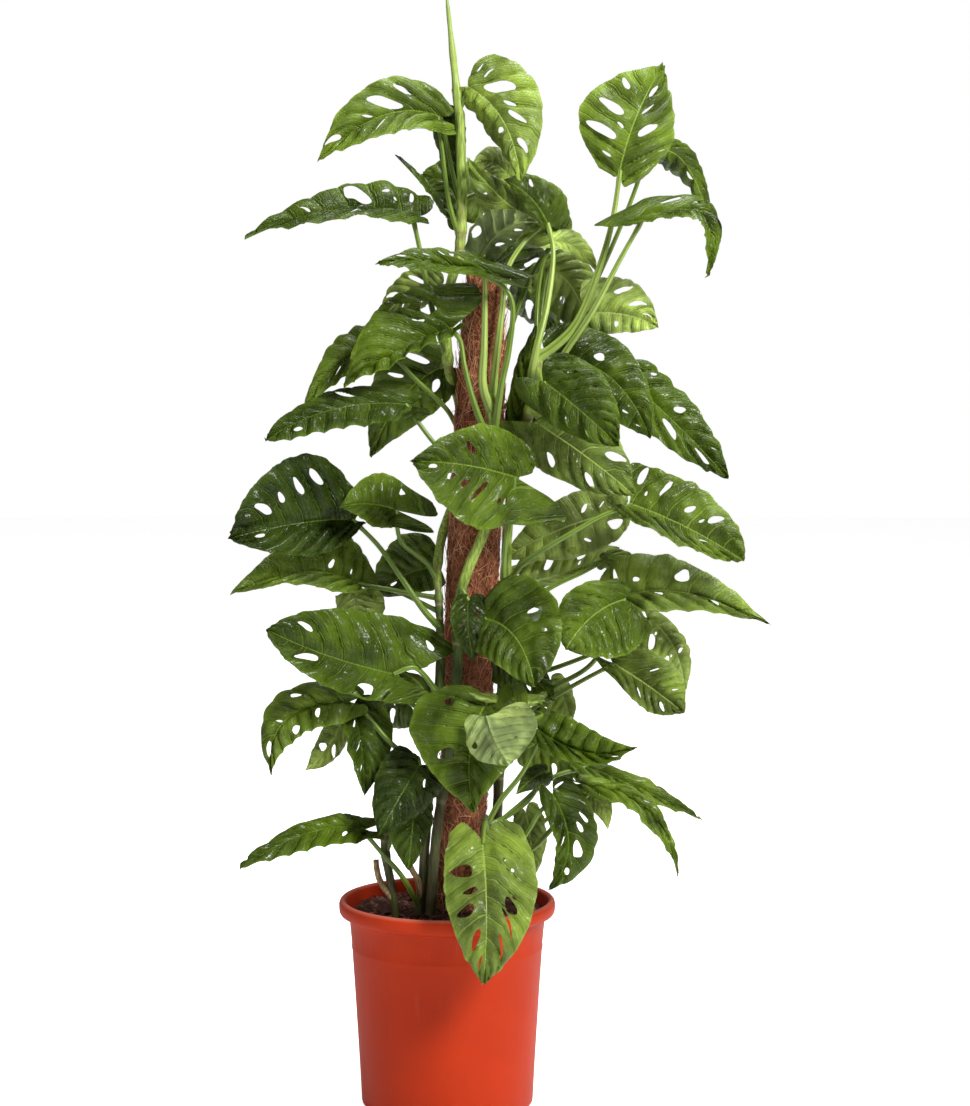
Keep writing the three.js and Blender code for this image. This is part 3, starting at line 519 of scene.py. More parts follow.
def placed(spots):
    """Places given as across, up and depth; depth slides along the line from EYE."""
    spots = np.array(spots, float).reshape(-1, 3)
    reach = (spots[:, 2] - EYE[1]) / -EYE[1]
    return np.column_stack([EYE[0] + (spots[:, 0] - EYE[0]) * reach, spots[:, 2],
                            EYE[2] + (spots[:, 1] - EYE[2]) * reach])


def course(points, spacing):
    """A smooth line through the points, cut at an even spacing."""
    points = np.array(points, float)
    ends = (2 * points[:1] - points[1:2], points, 2 * points[-1:] - points[-2:-1])
    given = np.vstack(ends)
    line = []
    for p0, p1, p2, p3 in zip(given, given[1:], given[2:], given[3:]):
        t01, t12, t23 = (max(np.linalg.norm(b - a), 1e-6) ** 0.5
                         for a, b in ((p0, p1), (p1, p2), (p2, p3)))
        m1 = (p2 - p1) + t12 * ((p1 - p0) / t01 - (p2 - p0) / (t01 + t12))
        m2 = (p2 - p1) + t12 * ((p3 - p2) / t23 - (p3 - p1) / (t12 + t23))
        for t in np.linspace(0, 1, 24, endpoint=False):
            line.append((2 * t ** 3 - 3 * t ** 2 + 1) * p1 + (t ** 3 - 2 * t ** 2 + t) * m1
                        + (3 * t ** 2 - 2 * t ** 3) * p2 + (t ** 3 - t ** 2) * m2)
    line.append(points[-1])
    line = np.array(line)
    run = np.concatenate([[0], np.cumsum(np.linalg.norm(np.diff(line, axis=0), axis=1))])
    cuts = np.linspace(0, run[-1], max(4, int(run[-1] / spacing)))
    return np.column_stack([np.interp(cuts, run, line[:, i]) for i in range(3)])


VINES = {  # radius, and points of the course: across, up and depth
    "a": (5.6, [(-34, 190, -30), (-28, 250, -34), (-20, 360, -36), (-10, 455, -39), (-7, 510, -38),
                (-8, 560, -33), (-10, 610, -14), (-4, 650, 18), (10, 690, 36), (20, 740, 38),
                (14, 790, 30), (3, 825, 14), (1, 850, -8), (-1, 880, -16), (4, 920, -14),
                (13, 950, -6), (17, 1000, -4), (16, 1060, 0), (15, 1112, 2)]),
    "b": (6, [(-20, 190, -42), (-13, 300, -44), (1, 400, -44), (10, 465, -44), (12, 530, -44),
              (14, 575, -42), (22, 605, -44), (36, 638, -46), (48, 668, -44), (52, 720, -42),
              (50, 770, -42), (50, 806, -42)]),
    "c": (6, [(48, 190, 14), (55, 320, 22), (60, 450, 24), (66, 560, 22), (66, 640, 20),
              (72, 700, 10), (85, 760, -12), (96, 805, -28), (100, 846, -34)]),
    "d": (5, [(-54, 190, -40), (-61, 250, -42), (-69, 300, -42), (-66, 340, -38)]),
    "e": (5.5, [(40, 190, -52), (44, 250, -54), (44, 300, -50), (43, 336, -46)]),
    "f": (5.6, [(2, 190, 44), (12, 320, 44), (26, 450, 46), (36, 580, 48), (40, 700, 46),
                (44, 790, 42)]),
}
vine_courses = {letter: course(placed(points), 2.5) for letter, (_, points) in VINES.items()}


def on_vine(letter, height):
    """Where a vine's middle line reaches a height."""
    line = vine_courses[letter]
    return line[int(np.argmax(line[:, 2] >= height)) or -1]


# ------------------------------------------------------------------ leaves
# Each leaf is one thin blade on its stalk: heart-shaped, drawn out to a tip, holed
# between its side veins and quilted by them. The stalk clasps its stem, thick and
# grooved low down, and runs on into the midrib.
REACH = 2          # how strongly a midrib's depths are carried out
BLADE = 0.7        # thickness in mm
MESH_SPACING, MESH_SPACING_QUICK = 2.3, 4
VEIN_SLANT = 0.26  # how far a side vein runs tipwards on its way out
HALF_OUTLINE = [  # along the midrib and out from it, as shares
    (0, 0), (-0.08, 0.18), (-0.1, 0.46), (-0.02, 0.76), (0.16, 0.97), (0.38, 0.99), (0.6, 0.79),
    (0.78, 0.5), (0.9, 0.22), (1, 0)]
# Holes between the side veins: how far out they start and end, and half their width.
WINDOWS = {"O": (0.22, 0.82, 0.054), "o": (0.3, 0.74, 0.036), "-": (0.36, 0.7, 0.014)}
# Leaf tones: partly each leaf's own green, paler on young leaves and on undersides, and partly painted
# light. A leaf that stands in more light was given a lighter tone, lime the lightest, and a leaf in
# shade the deep one, so most tones are lit and shaded copies of one green.
TONES = {  # upper side, under side, veins, slot
    "deep": ((0.018, 0.0325, 0.0012), (0.050, 0.085, 0.015), (0.06, 0.10, 0.012), "leaf_deep"),
    "mature": ((0.033, 0.057, 0.0017), (0.075, 0.12, 0.020), (0.10, 0.16, 0.018), "leaf_mature"),
    "fresh": ((0.044, 0.074, 0.0026), (0.10, 0.155, 0.025), (0.15, 0.23, 0.026), "leaf_bright"),
    "bright": ((0.077, 0.122, 0.0085), (0.13, 0.19, 0.03), (0.20, 0.29, 0.045), "leaf_bright"),
    "young": ((0.116, 0.170, 0.0220), (0.18, 0.26, 0.05), (0.27, 0.36, 0.080), "leaf_young"),
    "lime": ((0.240, 0.330, 0.0600), (0.24, 0.32, 0.08), (0.36, 0.44, 0.130), "leaf_young"),
    "pale": ((0.095, 0.145, 0.0260), (0.20, 0.26, 0.09), (0.20, 0.28, 0.080), "leaf_pale"),
}


def leaf(name, vine, foot, rib, left, right, windows=("oOo", "oOo"), stalk=(), lobe=1, broad=1,
         full=1, shoulder=0, thick=2.6, tone="mature", fused=False, under=False):
    """One leaf: where it springs from, its stalk, midrib (base, bow, tip) and halves."""
    pair = lambda value: value if isinstance(value, list) else (value, value)
    return dict(name=name, vine=vine, foot=foot, rib=np.array(rib, float), sides=(left, right),
                windows=windows, stalk=list(stalk), lobe=pair(lobe), broad=broad, full=full,
                shoulder=pair(shoulder), thick=thick, tone=tone, fused=fused, under=under)


# One row for each leaf. Its stalk and rib are points across, up and depth in mm. Left
# and right are each half's width and how far its edge curls forwards or back. A hole
# is a letter of WINDOWS, or its middle along the rib, where it starts and ends on the
# way out, half its width, and its slant. Most of this table isn't hand-set: a fitting
# script refined the rib, widths, lobes, shoulders, broad and full of 62 of the 72 rows
# (11 of those ribs were then changed by hand), and a measuring script made 90 of the
# 123 written-out holes.
LEAVES = [
    # crown
    leaf("01", "a", 966, stalk=[[-5, 1070, -9], [3, 1010, -9]], rib=[[-6, 1101, -10], [-66, 1128, -30],
         [-140, 1053, -40]], left=[21.4, -22], right=[37.6, 14], windows=["-", [(0.23, 0.46, 0.84,
         0.041, 0.23), (0.38, 0.07, 0.68, 0.075, 0.32), (0.54, 0.07, 0.23, 0.024, 0.51), (0.84, 0.07,
         0.8, 0.033, 0.16)]], lobe=[1.35, 1], broad=0.8, full=0.95, shoulder=[-0.06, 0.19],
         tone="bright"),
    leaf("02", "a", 1118, rib=[[23, 1134, -2], [72, 1110, -20], [81, 1032, -34]], left=[50.6, 16],
         right=[20.4, 30], windows=[[(-0.04, 0.29, 0.5, 0.009, 0.02), (0.07, 0.28, 0.56, 0.01, 0.06),
         (0.23, 0.11, 0.6, 0.065, 0.31), (0.4, 0.18, 0.4, 0.017, 0.34), (0.54, 0.15, 0.48, 0.032, 0.42),
         (0.76, 0.12, 0.5, 0.036, 0.3)], [(0.57, 0.1, 0.33, 0.02, 0.15)]], lobe=[0.82, 1], full=0.88,
         shoulder=[-0.09, 0.03], tone="young"),
    leaf("03", "c", 842, stalk=[[180, 988, -20], [165, 935, -26], [140, 876, -32], [116, 852, -34]],
         rib=[[188, 1041, -14], [199, 1101, -22], [234, 1156, 4]], left=[64, 10], right=[47.1, 16],
         windows=[[(0.11, 0.28, 0.52, 0.012, 0.08), (0.27, 0.22, 0.86, 0.04, 0.06), (0.36, 0.13, 0.27,
         0.014, 0.19), (0.48, 0.22, 0.79, 0.041, 0.08), (0.7, 0.4, 0.81, 0.023, 0.17)], [(0.41, 0.15,
         0.56, 0.047, 0.34), (0.58, 0.08, 0.31, 0.018, 0.5), (0.75, 0.07, 0.28, 0.046, 0.33)]],
         lobe=[0.38, 0.98], broad=0.9, full=0.95, shoulder=[0.55, 0.38], thick=5, tone="bright"),
    leaf("04", "f", 770, stalk=[[196, 1000, 34], [156, 910, 42], [118, 840, 46], [80, 800, 50]],
         rib=[[216, 1061, 40], [258, 1086, 56], [284, 995, 70]], left=[13.4, 26], right=[17.4, 30],
         windows=["", [(0.66, 0.07, 0.22, 0.054, -0.18)]], broad=0.9, full=0.8, tone="fresh"),
    leaf("05", "c", 784, stalk=[[190, 950, -56], [158, 890, -44], [126, 842, -30], [108, 808, -25]],
         rib=[[207, 988, -60], [305, 1030, -62], [282, 930, -70]], left=[17.7, 34], right=[6.7, -30],
         windows=["ooo", "oo"], lobe=[2.14, 0.69], broad=1.05, full=0.95, shoulder=[-0.19, -0.03],
         thick=4.2, tone="fresh"),
    leaf("06", "a", 842, stalk=[[-28, 955, -26], [-18, 905, -26], [-8, 868, -22]], rib=[[-32, 994, -26],
         [-112, 1022, -36], [-219, 970, -44]], left=[13, -40], right=[24.6, 38], windows=["-", [(0.08,
         0.36, 0.77, 0.022, -0), (0.21, 0.22, 0.35, 0.014, 0.06), (0.27, 0.46, 0.62, 0.027, -0.12),
         (0.45, 0.07, 0.88, 0.065, 0.12), (0.72, 0.07, 0.4, 0.01, 0.13)]], lobe=[0.82, 0.91], broad=1.2,
         full=0.9, shoulder=[0.12, -0.19], thick=3.4),
    leaf("07", "a", 984, rib=[[0, 999, 14], [-25, 1032, 20], [-55, 1061, 26]], left=[4, -20], right=[5,
         22], windows=["", ""], full=0.95, fused=True),
    leaf("08", "a", 978, stalk=[[16, 984, 22]], rib=[[16, 993, 34], [6, 1046, 46], [-28, 1036, 66]],
         left=[17.9, 14], right=[31.5, 18], windows=["", ""], lobe=[1, 1.09], broad=0.85, shoulder=[0,
         -0.06], tone="bright", fused=True),
    leaf("09", "a", 1010, stalk=[[40, 1022, 12]], rib=[[72, 1034, 18], [46, 1066, 8], [26, 1044, -6]],
         left=[12, -12], right=[19, 12], windows=["", ""], lobe=2, full=0.9, tone="lime", fused=True),
    leaf("10", "b", 803, stalk=[[84, 966, 2], [66, 936, -20], [60, 890, -30], [54, 840, -38]],
         rib=[[106, 983, 10], [58, 1006, -8], [22, 1058, -16]], left=[27.5, 14], right=[16, 18],
         windows=["ooo", ""], lobe=[1.09, 1], broad=0.95, full=0.98, shoulder=[-0.12, 0], thick=4.2,
         tone="young"),
    leaf("11", "c", 806, stalk=[[116, 958, -26], [110, 900, -42], [98, 850, -56], [93, 820, -50]],
         rib=[[111, 985, -14], [95, 1021, -20], [62, 1034, -22]], left=[10, -6], right=[30, 22],
         windows=["", "oo"], full=0.9, shoulder=[0, 0.06], thick=4.6, tone="fresh"),
    leaf("12", "f", 786, stalk=[[92, 930, 78], [66, 860, 66]], rib=[[123, 975, 74], [128, 1010, 76],
         [90, 1038, 72]], left=[16, 10], right=[10, 26], windows=["", ""], tone="bright", fused=True),
    leaf("13", "b", 782, stalk=[[42, 920, -42], [41, 850, -52], [40, 810, -56]], rib=[[39, 952, -46],
         [59, 992, -64], [99, 988, -84]], left=[27.4, 20], right=[18, -10], windows=[[(0.15, 0.57, 0.92,
         0.063, 0.11), (0.64, 0.07, 0.25, 0.037, 0.14)], "oo"], lobe=[1.18, 1], shoulder=[-0.19, 0],
         thick=4.8, tone="pale", under=True),
    leaf("14", "c", 818, stalk=[[104, 940, 24], [98, 880, 14], [100, 846, -8]], rib=[[113, 966, 26],
         [140, 973, 30], [164, 933, 40]], left=[14, 24], right=[8.5, -14], windows=["", ""], lobe=1.6,
         tone="lime", fused=True),
    leaf("15", "b", 752, stalk=[[65, 915, -63], [72, 898, -64], [68, 850, -62], [60, 812, -60]],
         rib=[[43, 931, -62], [-28, 950, -78], [-77, 943, -92]], left=[7.6, -34], right=[17.4, 14],
         windows=["o-", "o-o"], lobe=3.4, broad=0.85, full=0.9, thick=4),
    # upper left
    leaf("16", "a", 900, rib=[[-7, 918, 8], [-43, 921, 26], [-77, 875, 40]], left=[20, -8], right=[23.3,
         18], windows=["O-", "Oo"], lobe=[1, 1.09], broad=1.05, full=1.02, shoulder=[0, -0.06],
         tone="lime"),
    leaf("17", "b", 744, stalk=[[14, 862, -42], [20, 830, -46], [34, 780, -50]], rib=[[7, 874, -44],
         [-56, 851, -62], [-112, 808, -72]], left=[9.5, -30], right=[55.6, 20], windows=[[(0.17, 0.07,
         0.92, 0.016, 0.02)], [(0.14, 0.36, 0.67, 0.071, 0.08), (0.27, 0.27, 0.4, 0.028, 0.6), (0.35,
         0.7, 0.84, 0.08, 0.6)]], lobe=[1, 3.24], broad=1.08, full=0.9, shoulder=[0, -0.06], thick=3.8,
         tone="fresh"),
    leaf("18", "a", 744, stalk=[[-36, 820, -14], [0, 785, 6], [10, 768, 20]], rib=[[-59, 848, -20],
         [-113, 864, -34], [-157, 778, -44]], left=[16.1, -20], right=[25.1, 26], windows=["o-", [(0.77,
         0.25, 0.75, 0.013, 0.13)]], broad=1.1, full=0.95, tone="bright"),
    leaf("19", "b", 708, stalk=[[-10, 744, -62], [16, 722, -60]], rib=[[-40, 790, -60], [-128, 800,
         -76], [-198, 750, -84]], left=[24, -26], right=[17, 34], windows=[[(0.69, 0.52, 0.79, 0.043,
         -0.02)], "o-"], lobe=[1.09, 1], broad=0.7, full=0.8, shoulder=[0, 0.06]),
    leaf("20", "a", 838, rib=[[-3, 832, 22], [-57, 810, 30], [-83, 731, 34]], left=[37.4, -8],
         right=[41, 24], windows=[[(0.18, 0.26, 0.6, 0.062, 0.25)], [(0.14, 0.22, 0.78, 0.038, 0.19),
         (0.36, 0.3, 0.65, 0.022, 0.17)]], shoulder=[0, -0.06], tone="bright"),
    # middle left
    leaf("21", "a", 548, stalk=[[-75, 635, -40], [-50, 600, -46], [-24, 562, -46]], rib=[[-100, 664,
         -36], [-156, 666, -46], [-239, 643, -64]], left=[40.2, -22], right=[79, -8], windows=[[(0.8,
         0.07, 0.22, 0.041, 0.3)], [(0.32, 0.45, 0.74, 0.044, 0.18), (0.47, 0.3, 0.64, 0.028, 0.15),
         (0.61, 0.26, 0.48, 0.019, 0.1), (0.75, 0.17, 0.54, 0.034, 0.23)]], full=0.7, shoulder=[0.57,
         0.48], thick=3.4, tone="deep"),
    leaf("22", "a", 598, stalk=[[-50, 640, -42], [-22, 616, -28]], rib=[[-54, 674, -54], [-88, 687,
         -62], [-118, 677, -72]], left=[24, -16], right=[35, 16], windows=["", [(0.02, 0.5, 0.72, 0.03,
         0)]], lobe=[6, 6], broad=1.1, full=1.05, tone="fresh"),
    leaf("23", "a", 580, stalk=[[-60, 586, -6]], rib=[[-95, 591, -6], [-146, 626, -20], [-239, 580,
         -34]], left=[18, -22], right=[45.9, 20], windows=["", [(0.22, 0.07, 0.2, 0.015, -0.04), (0.42,
         0.07, 0.25, 0.019, -0.08)]], lobe=1.44, broad=1.4, full=0.8, shoulder=[0.06, 0.25],
         tone="bright"),
    leaf("24", "a", 618, rib=[[-11, 612, 18], [-44, 610, 34], [-84, 578, 46]], left=[24.9, -8],
         right=[40.2, 18], windows=[[(0.65, 0.07, 0.25, 0.059, 0.02)], ""], broad=0.9, shoulder=[-0.19,
         -0.12], tone="fresh", fused=True),
    leaf("25", "a", 566, stalk=[[-70, 588, 30]], rib=[[-104, 584, 30], [-97, 557, 20], [-98, 528, 16]],
         left=[32.4, 14], right=[21.1, 14], windows=["", ""], lobe=0.2, tone="lime", fused=True),
    leaf("26", "a", 474, stalk=[[-36, 500, -62]], rib=[[-54, 492, -66], [-138, 510, -84], [-199, 543,
         -98]], left=[35.7, -18], right=[58, 22], windows=[[(0.05, 0.5, 0.88, 0.011, 0.07), (0.19, 0.42,
         0.92, 0.067, 0.02), (0.65, 0.07, 0.52, 0.058, 0.28)], [(-0.05, 0.33, 0.51, 0.008, 0.1), (0.74,
         0.29, 0.58, 0.039, 0.4)]], lobe=[2.6, 2.78], full=0.72, shoulder=[-0.09, -0.2], thick=3.2),
    leaf("27", "b", 366, stalk=[[-94, 452, -48], [-66, 420, -54], [-36, 392, -54]], rib=[[-109, 462,
         -50], [-206, 462, -62], [-193, 378, -72]], left=[27.1, -16], right=[26.1, 18], windows=[[(0.24,
         0.25, 0.64, 0.022, 0.1), (0.5, 0.52, 0.91, 0.045, 0.17)], [(0.32, 0.45, 0.68, 0.03, 0.18),
         (0.55, 0.07, 0.38, 0.014, 0.1), (0.81, 0.07, 0.43, 0.065, 0.11)]], broad=1.02, full=1.1,
         shoulder=[0, -0.09], thick=3, tone="bright"),
    leaf("28", "d", 330, stalk=[[-92, 420, -20]], rib=[[-116, 442, -22], [-130, 404, -26], [-157, 385,
         -30]], left=[16, 8], right=[15.6, 8], windows=["O", [(0.5, 0.07, 0.59, 0.067, -0)]],
         shoulder=[0, 0.03], tone="lime", fused=True),
    leaf("29", "d", 336, stalk=[[-84, 434, -30], [-66, 400, -34]], rib=[[-104, 456, -38], [-90, 410,
         -52], [-92, 356, -58]], left=[35.3, 18], right=[16.1, -18], windows=[[(0.42, 0.47, 0.74, 0.032,
         0.48)], "o--"], broad=0.98, shoulder=[-0.06, 0]),
    leaf("30", "a", 440, stalk=[[-34, 456, 6]], rib=[[-44, 464, 16], [-70, 468, 26], [-90, 440, 34]],
         left=[34, 8], right=[12, 14], windows=["O", ""], tone="fresh", fused=True),
    leaf("31", "d", 322, stalk=[[-34, 400, -62], [-56, 376, -46]], rib=[[-29, 392, -72], [-48, 366,
         -92], [-76, 312, -100]], left=[33, 20], right=[35.9, 16], windows=["o-", ""], full=0.8,
         shoulder=[0, -0.06], tone="deep"),
    leaf("32", "a", 236, stalk=[[-72, 292, -60], [-50, 266, -58]], rib=[[-92, 320, -62], [-152, 331,
         -78], [-229, 275, -96]], left=[21.1, -34], right=[12, 36], windows=[[(0.2, 0.35, 0.7, 0.018,
         0.13)], "o"], lobe=[1.69, 1.6], full=0.85, shoulder=[0.12, 0], thick=3, tone="fresh"),
    leaf("33", "d", 300, stalk=[[-42, 352, -52], [-56, 322, -48]], rib=[[-34, 360, -58], [-38, 326,
         -72], [-43, 272, -76]], left=[21.1, 16], right=[30.7, 10], windows=["--", "-"], broad=0.9,
         full=0.9, fused=True),
    # front and centre
    leaf("34", "c", 545, stalk=[[72, 680, -66], [65, 640, -60], [62, 598, -44], [64, 568, -14]],
         rib=[[77, 710, -74], [22, 729, -104], [-40, 728, -118]], left=[66, -10], right=[46, 22],
         windows=[[(0.8, 0.07, 0.25, 0.04, 0.3), (0.62, 0.2, 0.38, 0.03, 0.3), (0.47, 0.25, 0.42, 0.025,
         0.3), (0.33, 0.2, 0.58, 0.018, 0.3), (0.16, 0.42, 0.54, 0.02, 0.2), (0.06, 0.36, 0.52, 0.012,
         0.1)], [(0.47, 0.28, 0.62, 0.035, 0.25)]], lobe=[5, 1.2], broad=0.95, shoulder=[0, 0],
         thick=3.6, tone="fresh"),
    # upper right
    leaf("35", "c", 788, stalk=[[99, 806, -64]], rib=[[106, 816, -74], [150, 783, -96], [189, 744,
         -104]], left=[46, 16], right=[31, 14], windows=[[(0.18, 0.37, 0.63, 0.028, 0.48), (0.44, 0.55,
         0.68, 0.014, 0.4), (0.7, 0.5, 0.62, 0.012, 0.3)], "---"], lobe=[1, 2], full=0.85, shoulder=[0,
         -0.12], thick=3.2),
    leaf("36", "c", 742, rib=[[98, 770, -34], [154, 736, -44], [206, 690, -50]], left=[41.3, 22],
         right=[38, 14], windows=["o-O", "oo"], lobe=[1.6, 2.4], full=0.75, shoulder=[0, -0.12],
         tone="young"),
    leaf("37", "c", 756, stalk=[[114, 812, 6], [100, 780, 2]], rib=[[112, 843, -14], [190, 842, -26],
         [223, 752, -34]], left=[35.9, 20], right=[46.9, -4], windows=[[(0.35, 0.15, 0.35, 0.034,
         0.13)], [(0.76, 0.3, 0.45, 0.022, -0.16), (0.89, 0.2, 0.53, 0.014, -0.09)]], lobe=[0.81, 0.5],
         full=0.85, shoulder=[-0.19, 0]),
    leaf("38", "c", 730, stalk=[[128, 858, 14], [112, 816, 16], [98, 776, 12]], rib=[[155, 890, 12],
         [202, 893, 2], [231, 874, -6]], left=[37, 22], right=[22.9, -8], windows=[[(0.4, 0.5, 0.9,
         0.05, 0.5), (0.62, 0.22, 0.66, 0.045, 0.5), (0.8, 0.15, 0.45, 0.02, 0.6)], [(0.38, 0.35, 0.75,
         0.03, 0)]], full=0.85, shoulder=[-0.16, -0.12], tone="lime"),
    leaf("39", "c", 716, stalk=[[170, 824, 24], [130, 796, 30], [100, 750, 22]], rib=[[198, 817, 14],
         [254, 770, 2], [309, 708, -10]], left=[28.7, 18], right=[28.7, -16], windows=[[(0.12, 0.48,
         0.67, 0.019, 0.13), (0.43, 0.15, 0.47, 0.024, 0.17), (0.79, 0.25, 0.48, 0.01, 0.19)], [(0.48,
         0.07, 0.5, 0.057, 0.31), (0.77, 0.07, 0.4, 0.064, 0.31)]], lobe=[0.82, 1], full=0.7,
         shoulder=[-0.09, 0.03], thick=3),
    leaf("40", "c", 578, stalk=[[170, 668, -46], [140, 651, -44], [108, 632, -36], [80, 612, -20]],
         rib=[[200, 682, -46], [265, 660, -60], [326, 618, -74]], left=[44.1, 20], right=[22.4, -20],
         windows=[[(0.02, 0.19, 0.81, 0.026, 0.03), (0.09, 0.07, 0.14, 0.012, 0.04), (0.21, 0.17, 0.7,
         0.016, 0.09), (0.44, 0.1, 0.34, 0.025, 0.21), (0.56, 0.07, 0.17, 0.016, 0.28), (0.66, 0.13,
         0.64, 0.032, 0.16)], [(0.68, 0.07, 0.17, 0.065, 0.6)]], lobe=[1.18, 1], broad=0.95, full=0.5,
         shoulder=[-0.12, 0.22], thick=3.4, tone="bright"),
    leaf("41", "c", 604, stalk=[[150, 650, 26], [100, 622, 26]], rib=[[188, 673, 2], [126, 660, 8], [60,
         620, 16]], left=[37.3, 10], right=[32, 14], windows=[[(0.05, 0.23, 0.57, 0.072, -0.04), (0.32,
         0.45, 0.67, 0.02, -0.17), (0.47, 0.59, 0.92, 0.048, -0.05)], [(0.11, 0.26, 0.44, 0.011, -0.32),
         (0.26, 0.27, 0.52, 0.025, -0.21)]], lobe=[0.82, 1.18], shoulder=[0.25, 0], tone="lime"),
    leaf("42", "f", 580, stalk=[[70, 590, 44]], rib=[[91, 596, 40], [140, 602, 44], [191, 634, 50]],
         left=[35.7, 14], right=[8.9, 8], windows=["OO", ""], lobe=[1.09, 1], shoulder=[0, -0.06],
         tone="lime", fused=True),
    leaf("43", "c", 516, stalk=[[182, 564, -8], [150, 544, 2], [110, 528, 10]], rib=[[186, 577, -14],
         [250, 605, -36], [358, 546, -55]], left=[39.1, 22], right=[25, -20], windows=[[(0.06, 0.31,
         0.7, 0.027, -0.04), (0.24, 0.27, 0.4, 0.029, -0.08), (0.54, 0.35, 0.78, 0.044, 0.04)], [(0.41,
         0.13, 0.27, 0.025, 0.32), (0.63, 0.07, 0.15, 0.016, 0.29), (0.74, 0.07, 0.41, 0.017, 0.11)]],
         broad=1.2, full=1.08, shoulder=[-0.19, 0], thick=3.2, tone="young"),
    leaf("44", "c", 500, stalk=[[190, 560, -34], [160, 505, -30], [124, 482, -22], [92, 468, -6]],
         rib=[[197, 576, -60], [156, 566, -82], [131, 520, -92]], left=[57.4, -6], right=[38, 18],
         windows=["", ""], broad=0.68, full=0.7, shoulder=[0, 0.25], thick=3, tone="fresh"),
    leaf("45", "c", 424, stalk=[[150, 486, -32], [124, 471, -28], [92, 452, -12]], rib=[[182, 506, -38],
         [225, 480, -56], [262, 449, -66]], left=[34.1, 14], right=[25.1, -8], windows=["--", "-o"],
         lobe=1.8, broad=0.6, full=0.85, shoulder=[0, 0.38], thick=3, tone="young"),
    leaf("46", "c", 480, stalk=[[190, 530, 8], [120, 500, 20]], rib=[[220, 556, 4], [258, 531, -6],
         [262, 474, -12]], left=[14, 10], right=[30, -4], windows=[[(0.54, 0.07, 0.4, 0.021, -0.08)],
         "OO"], broad=0.9, full=0.73, tone="lime"),
    leaf("47", "b", 540, rib=[[41, 555, -66], [84, 548, -92], [97, 478, -104]], left=[62, 14],
         right=[42, 6], windows=[[(0.42, 0.3, 0.62, 0.06, 0.1), (0.6, 0.4, 0.55, 0.015, 0.2)], "--"],
         full=0.7, shoulder=[-0.03, 0], thick=3, tone="fresh"),
    leaf("48", "b", 440, stalk=[[44, 452, -70]], rib=[[42, 458, -100], [14, 410, -114], [30, 335,
         -122]], left=[60, -6], right=[70, 18], windows=["-", [(0.1, 0.5, 0.66, 0.05, 0), (0.57, 0.32,
         0.68, 0.05, 0.1)]], lobe=[3.2, 1.3], broad=1.15, full=1.15, thick=3.2, tone="fresh"),
    leaf("49", "c", 444, stalk=[[84, 440, -122], [104, 446, -96], [98, 450, -70], [80, 447, -30]],
         rib=[[44, 445, -138], [50, 420, -154], [68, 392, -165]], left=[50, -10], right=[30, 12],
         windows=[[(0.5, 0.3, 0.42, 0.03, 0.2)], [(0.3, 0.6, 0.85, 0.07, 0.2), (0.65, 0.25, 0.5, 0.025,
         0.3)]], lobe=[1, 1.5], broad=0.7, full=0.7, shoulder=[-0.12, 0], tone="pale", under=True),
    # low right
    leaf("50", "f", 440, stalk=[[80, 466, 40]], rib=[[115, 486, 36], [132, 472, 34], [136, 434, 30]],
         left=[13.4, 8], right=[24.6, 8], windows=["", ""], full=0.9, tone="lime", fused=True),
    leaf("51", "e", 330, stalk=[[84, 384, -60], [58, 350, -52]], rib=[[102, 430, -62], [158, 390, -80],
         [213, 412, -96]], left=[28, 14], right=[18, -16], windows=[[(0.4, 0.15, 0.29, 0.02, -0.02)],
         "o"], broad=1.1, full=1.2, shoulder=[-0.16, 0], thick=3, tone="fresh"),
    leaf("52", "e", 322, stalk=[[118, 378, -24], [80, 346, -36]], rib=[[150, 390, -14], [213, 369, -22],
         [283, 329, -30]], left=[11, 26], right=[13.4, -14], windows=["", ""], broad=1.1, full=1.1,
         shoulder=[0, -0.06], thick=2.8, tone="bright"),
    leaf("53", "e", 308, stalk=[[125, 330, -64], [88, 294, -62]], rib=[[158, 366, -64], [240, 356, -82],
         [256, 264, -100]], left=[12, 14], right=[11.6, -22], windows=["-", ""], lobe=[1.04, 1],
         broad=1.1, shoulder=[-0.12, 0], thick=3, tone="bright"),
    leaf("54", "e", 300, stalk=[[110, 330, -6], [70, 300, -20]], rib=[[148, 360, 4], [178, 356, 0],
         [178, 319, -4]], left=[13.4, 10], right=[14, 6], windows=["", ""], tone="lime", fused=True),
    leaf("55", "e", 290, stalk=[[104, 340, -86], [80, 304, -78]], rib=[[117, 359, -84], [155, 294, -92],
         [112, 251, -96]], left=[32.3, 12], right=[18, -8], windows=[[(-0.05, 0.13, 0.48, 0.009, -0.08),
         (0.24, 0.45, 0.71, 0.037, 0.26), (0.32, 0.26, 0.47, 0.041, 0.27), (0.53, 0.13, 0.5, 0.077,
         0.2), (0.76, 0.07, 0.34, 0.031, 0.18)], "-"], lobe=[1.09, 1], full=0.9, shoulder=[-0.03,
         -0.12]),
    leaf("56", "e", 276, stalk=[[72, 300, -30]], rib=[[87, 339, -34], [96, 300, -40], [94, 262, -40]],
         left=[18, 6], right=[17.9, 6], windows=["", ""], lobe=[1.18, 1], broad=1.05, shoulder=[-0.12,
         -0.06], tone="lime", fused=True),
    leaf("57", "e", 314, stalk=[[42, 326, -78]], rib=[[39, 307, -104], [48, 224, -150], [40, 145,
         -142]], left=[57, 8], right=[46, 8], windows=[[(0.16, 0.3, 0.36, 0.012, 0), (0.22, 0.45, 0.52,
         0.01, 0.2), (0.4, 0.45, 0.55, 0.012, 0.2), (0.47, 0.3, 0.62, 0.045, 0.25), (0.58, 0.25, 0.66,
         0.022, 0.5), (0.74, 0.25, 0.6, 0.022, 0.5)], [(0.22, 0.25, 0.85, 0.045, 0), (0.36, 0.15, 0.5,
         0.02, 0.1), (0.5, 0.25, 0.78, 0.04, 0.12), (0.7, 0.12, 0.5, 0.045, 0.35), (0.85, 0.1, 0.4,
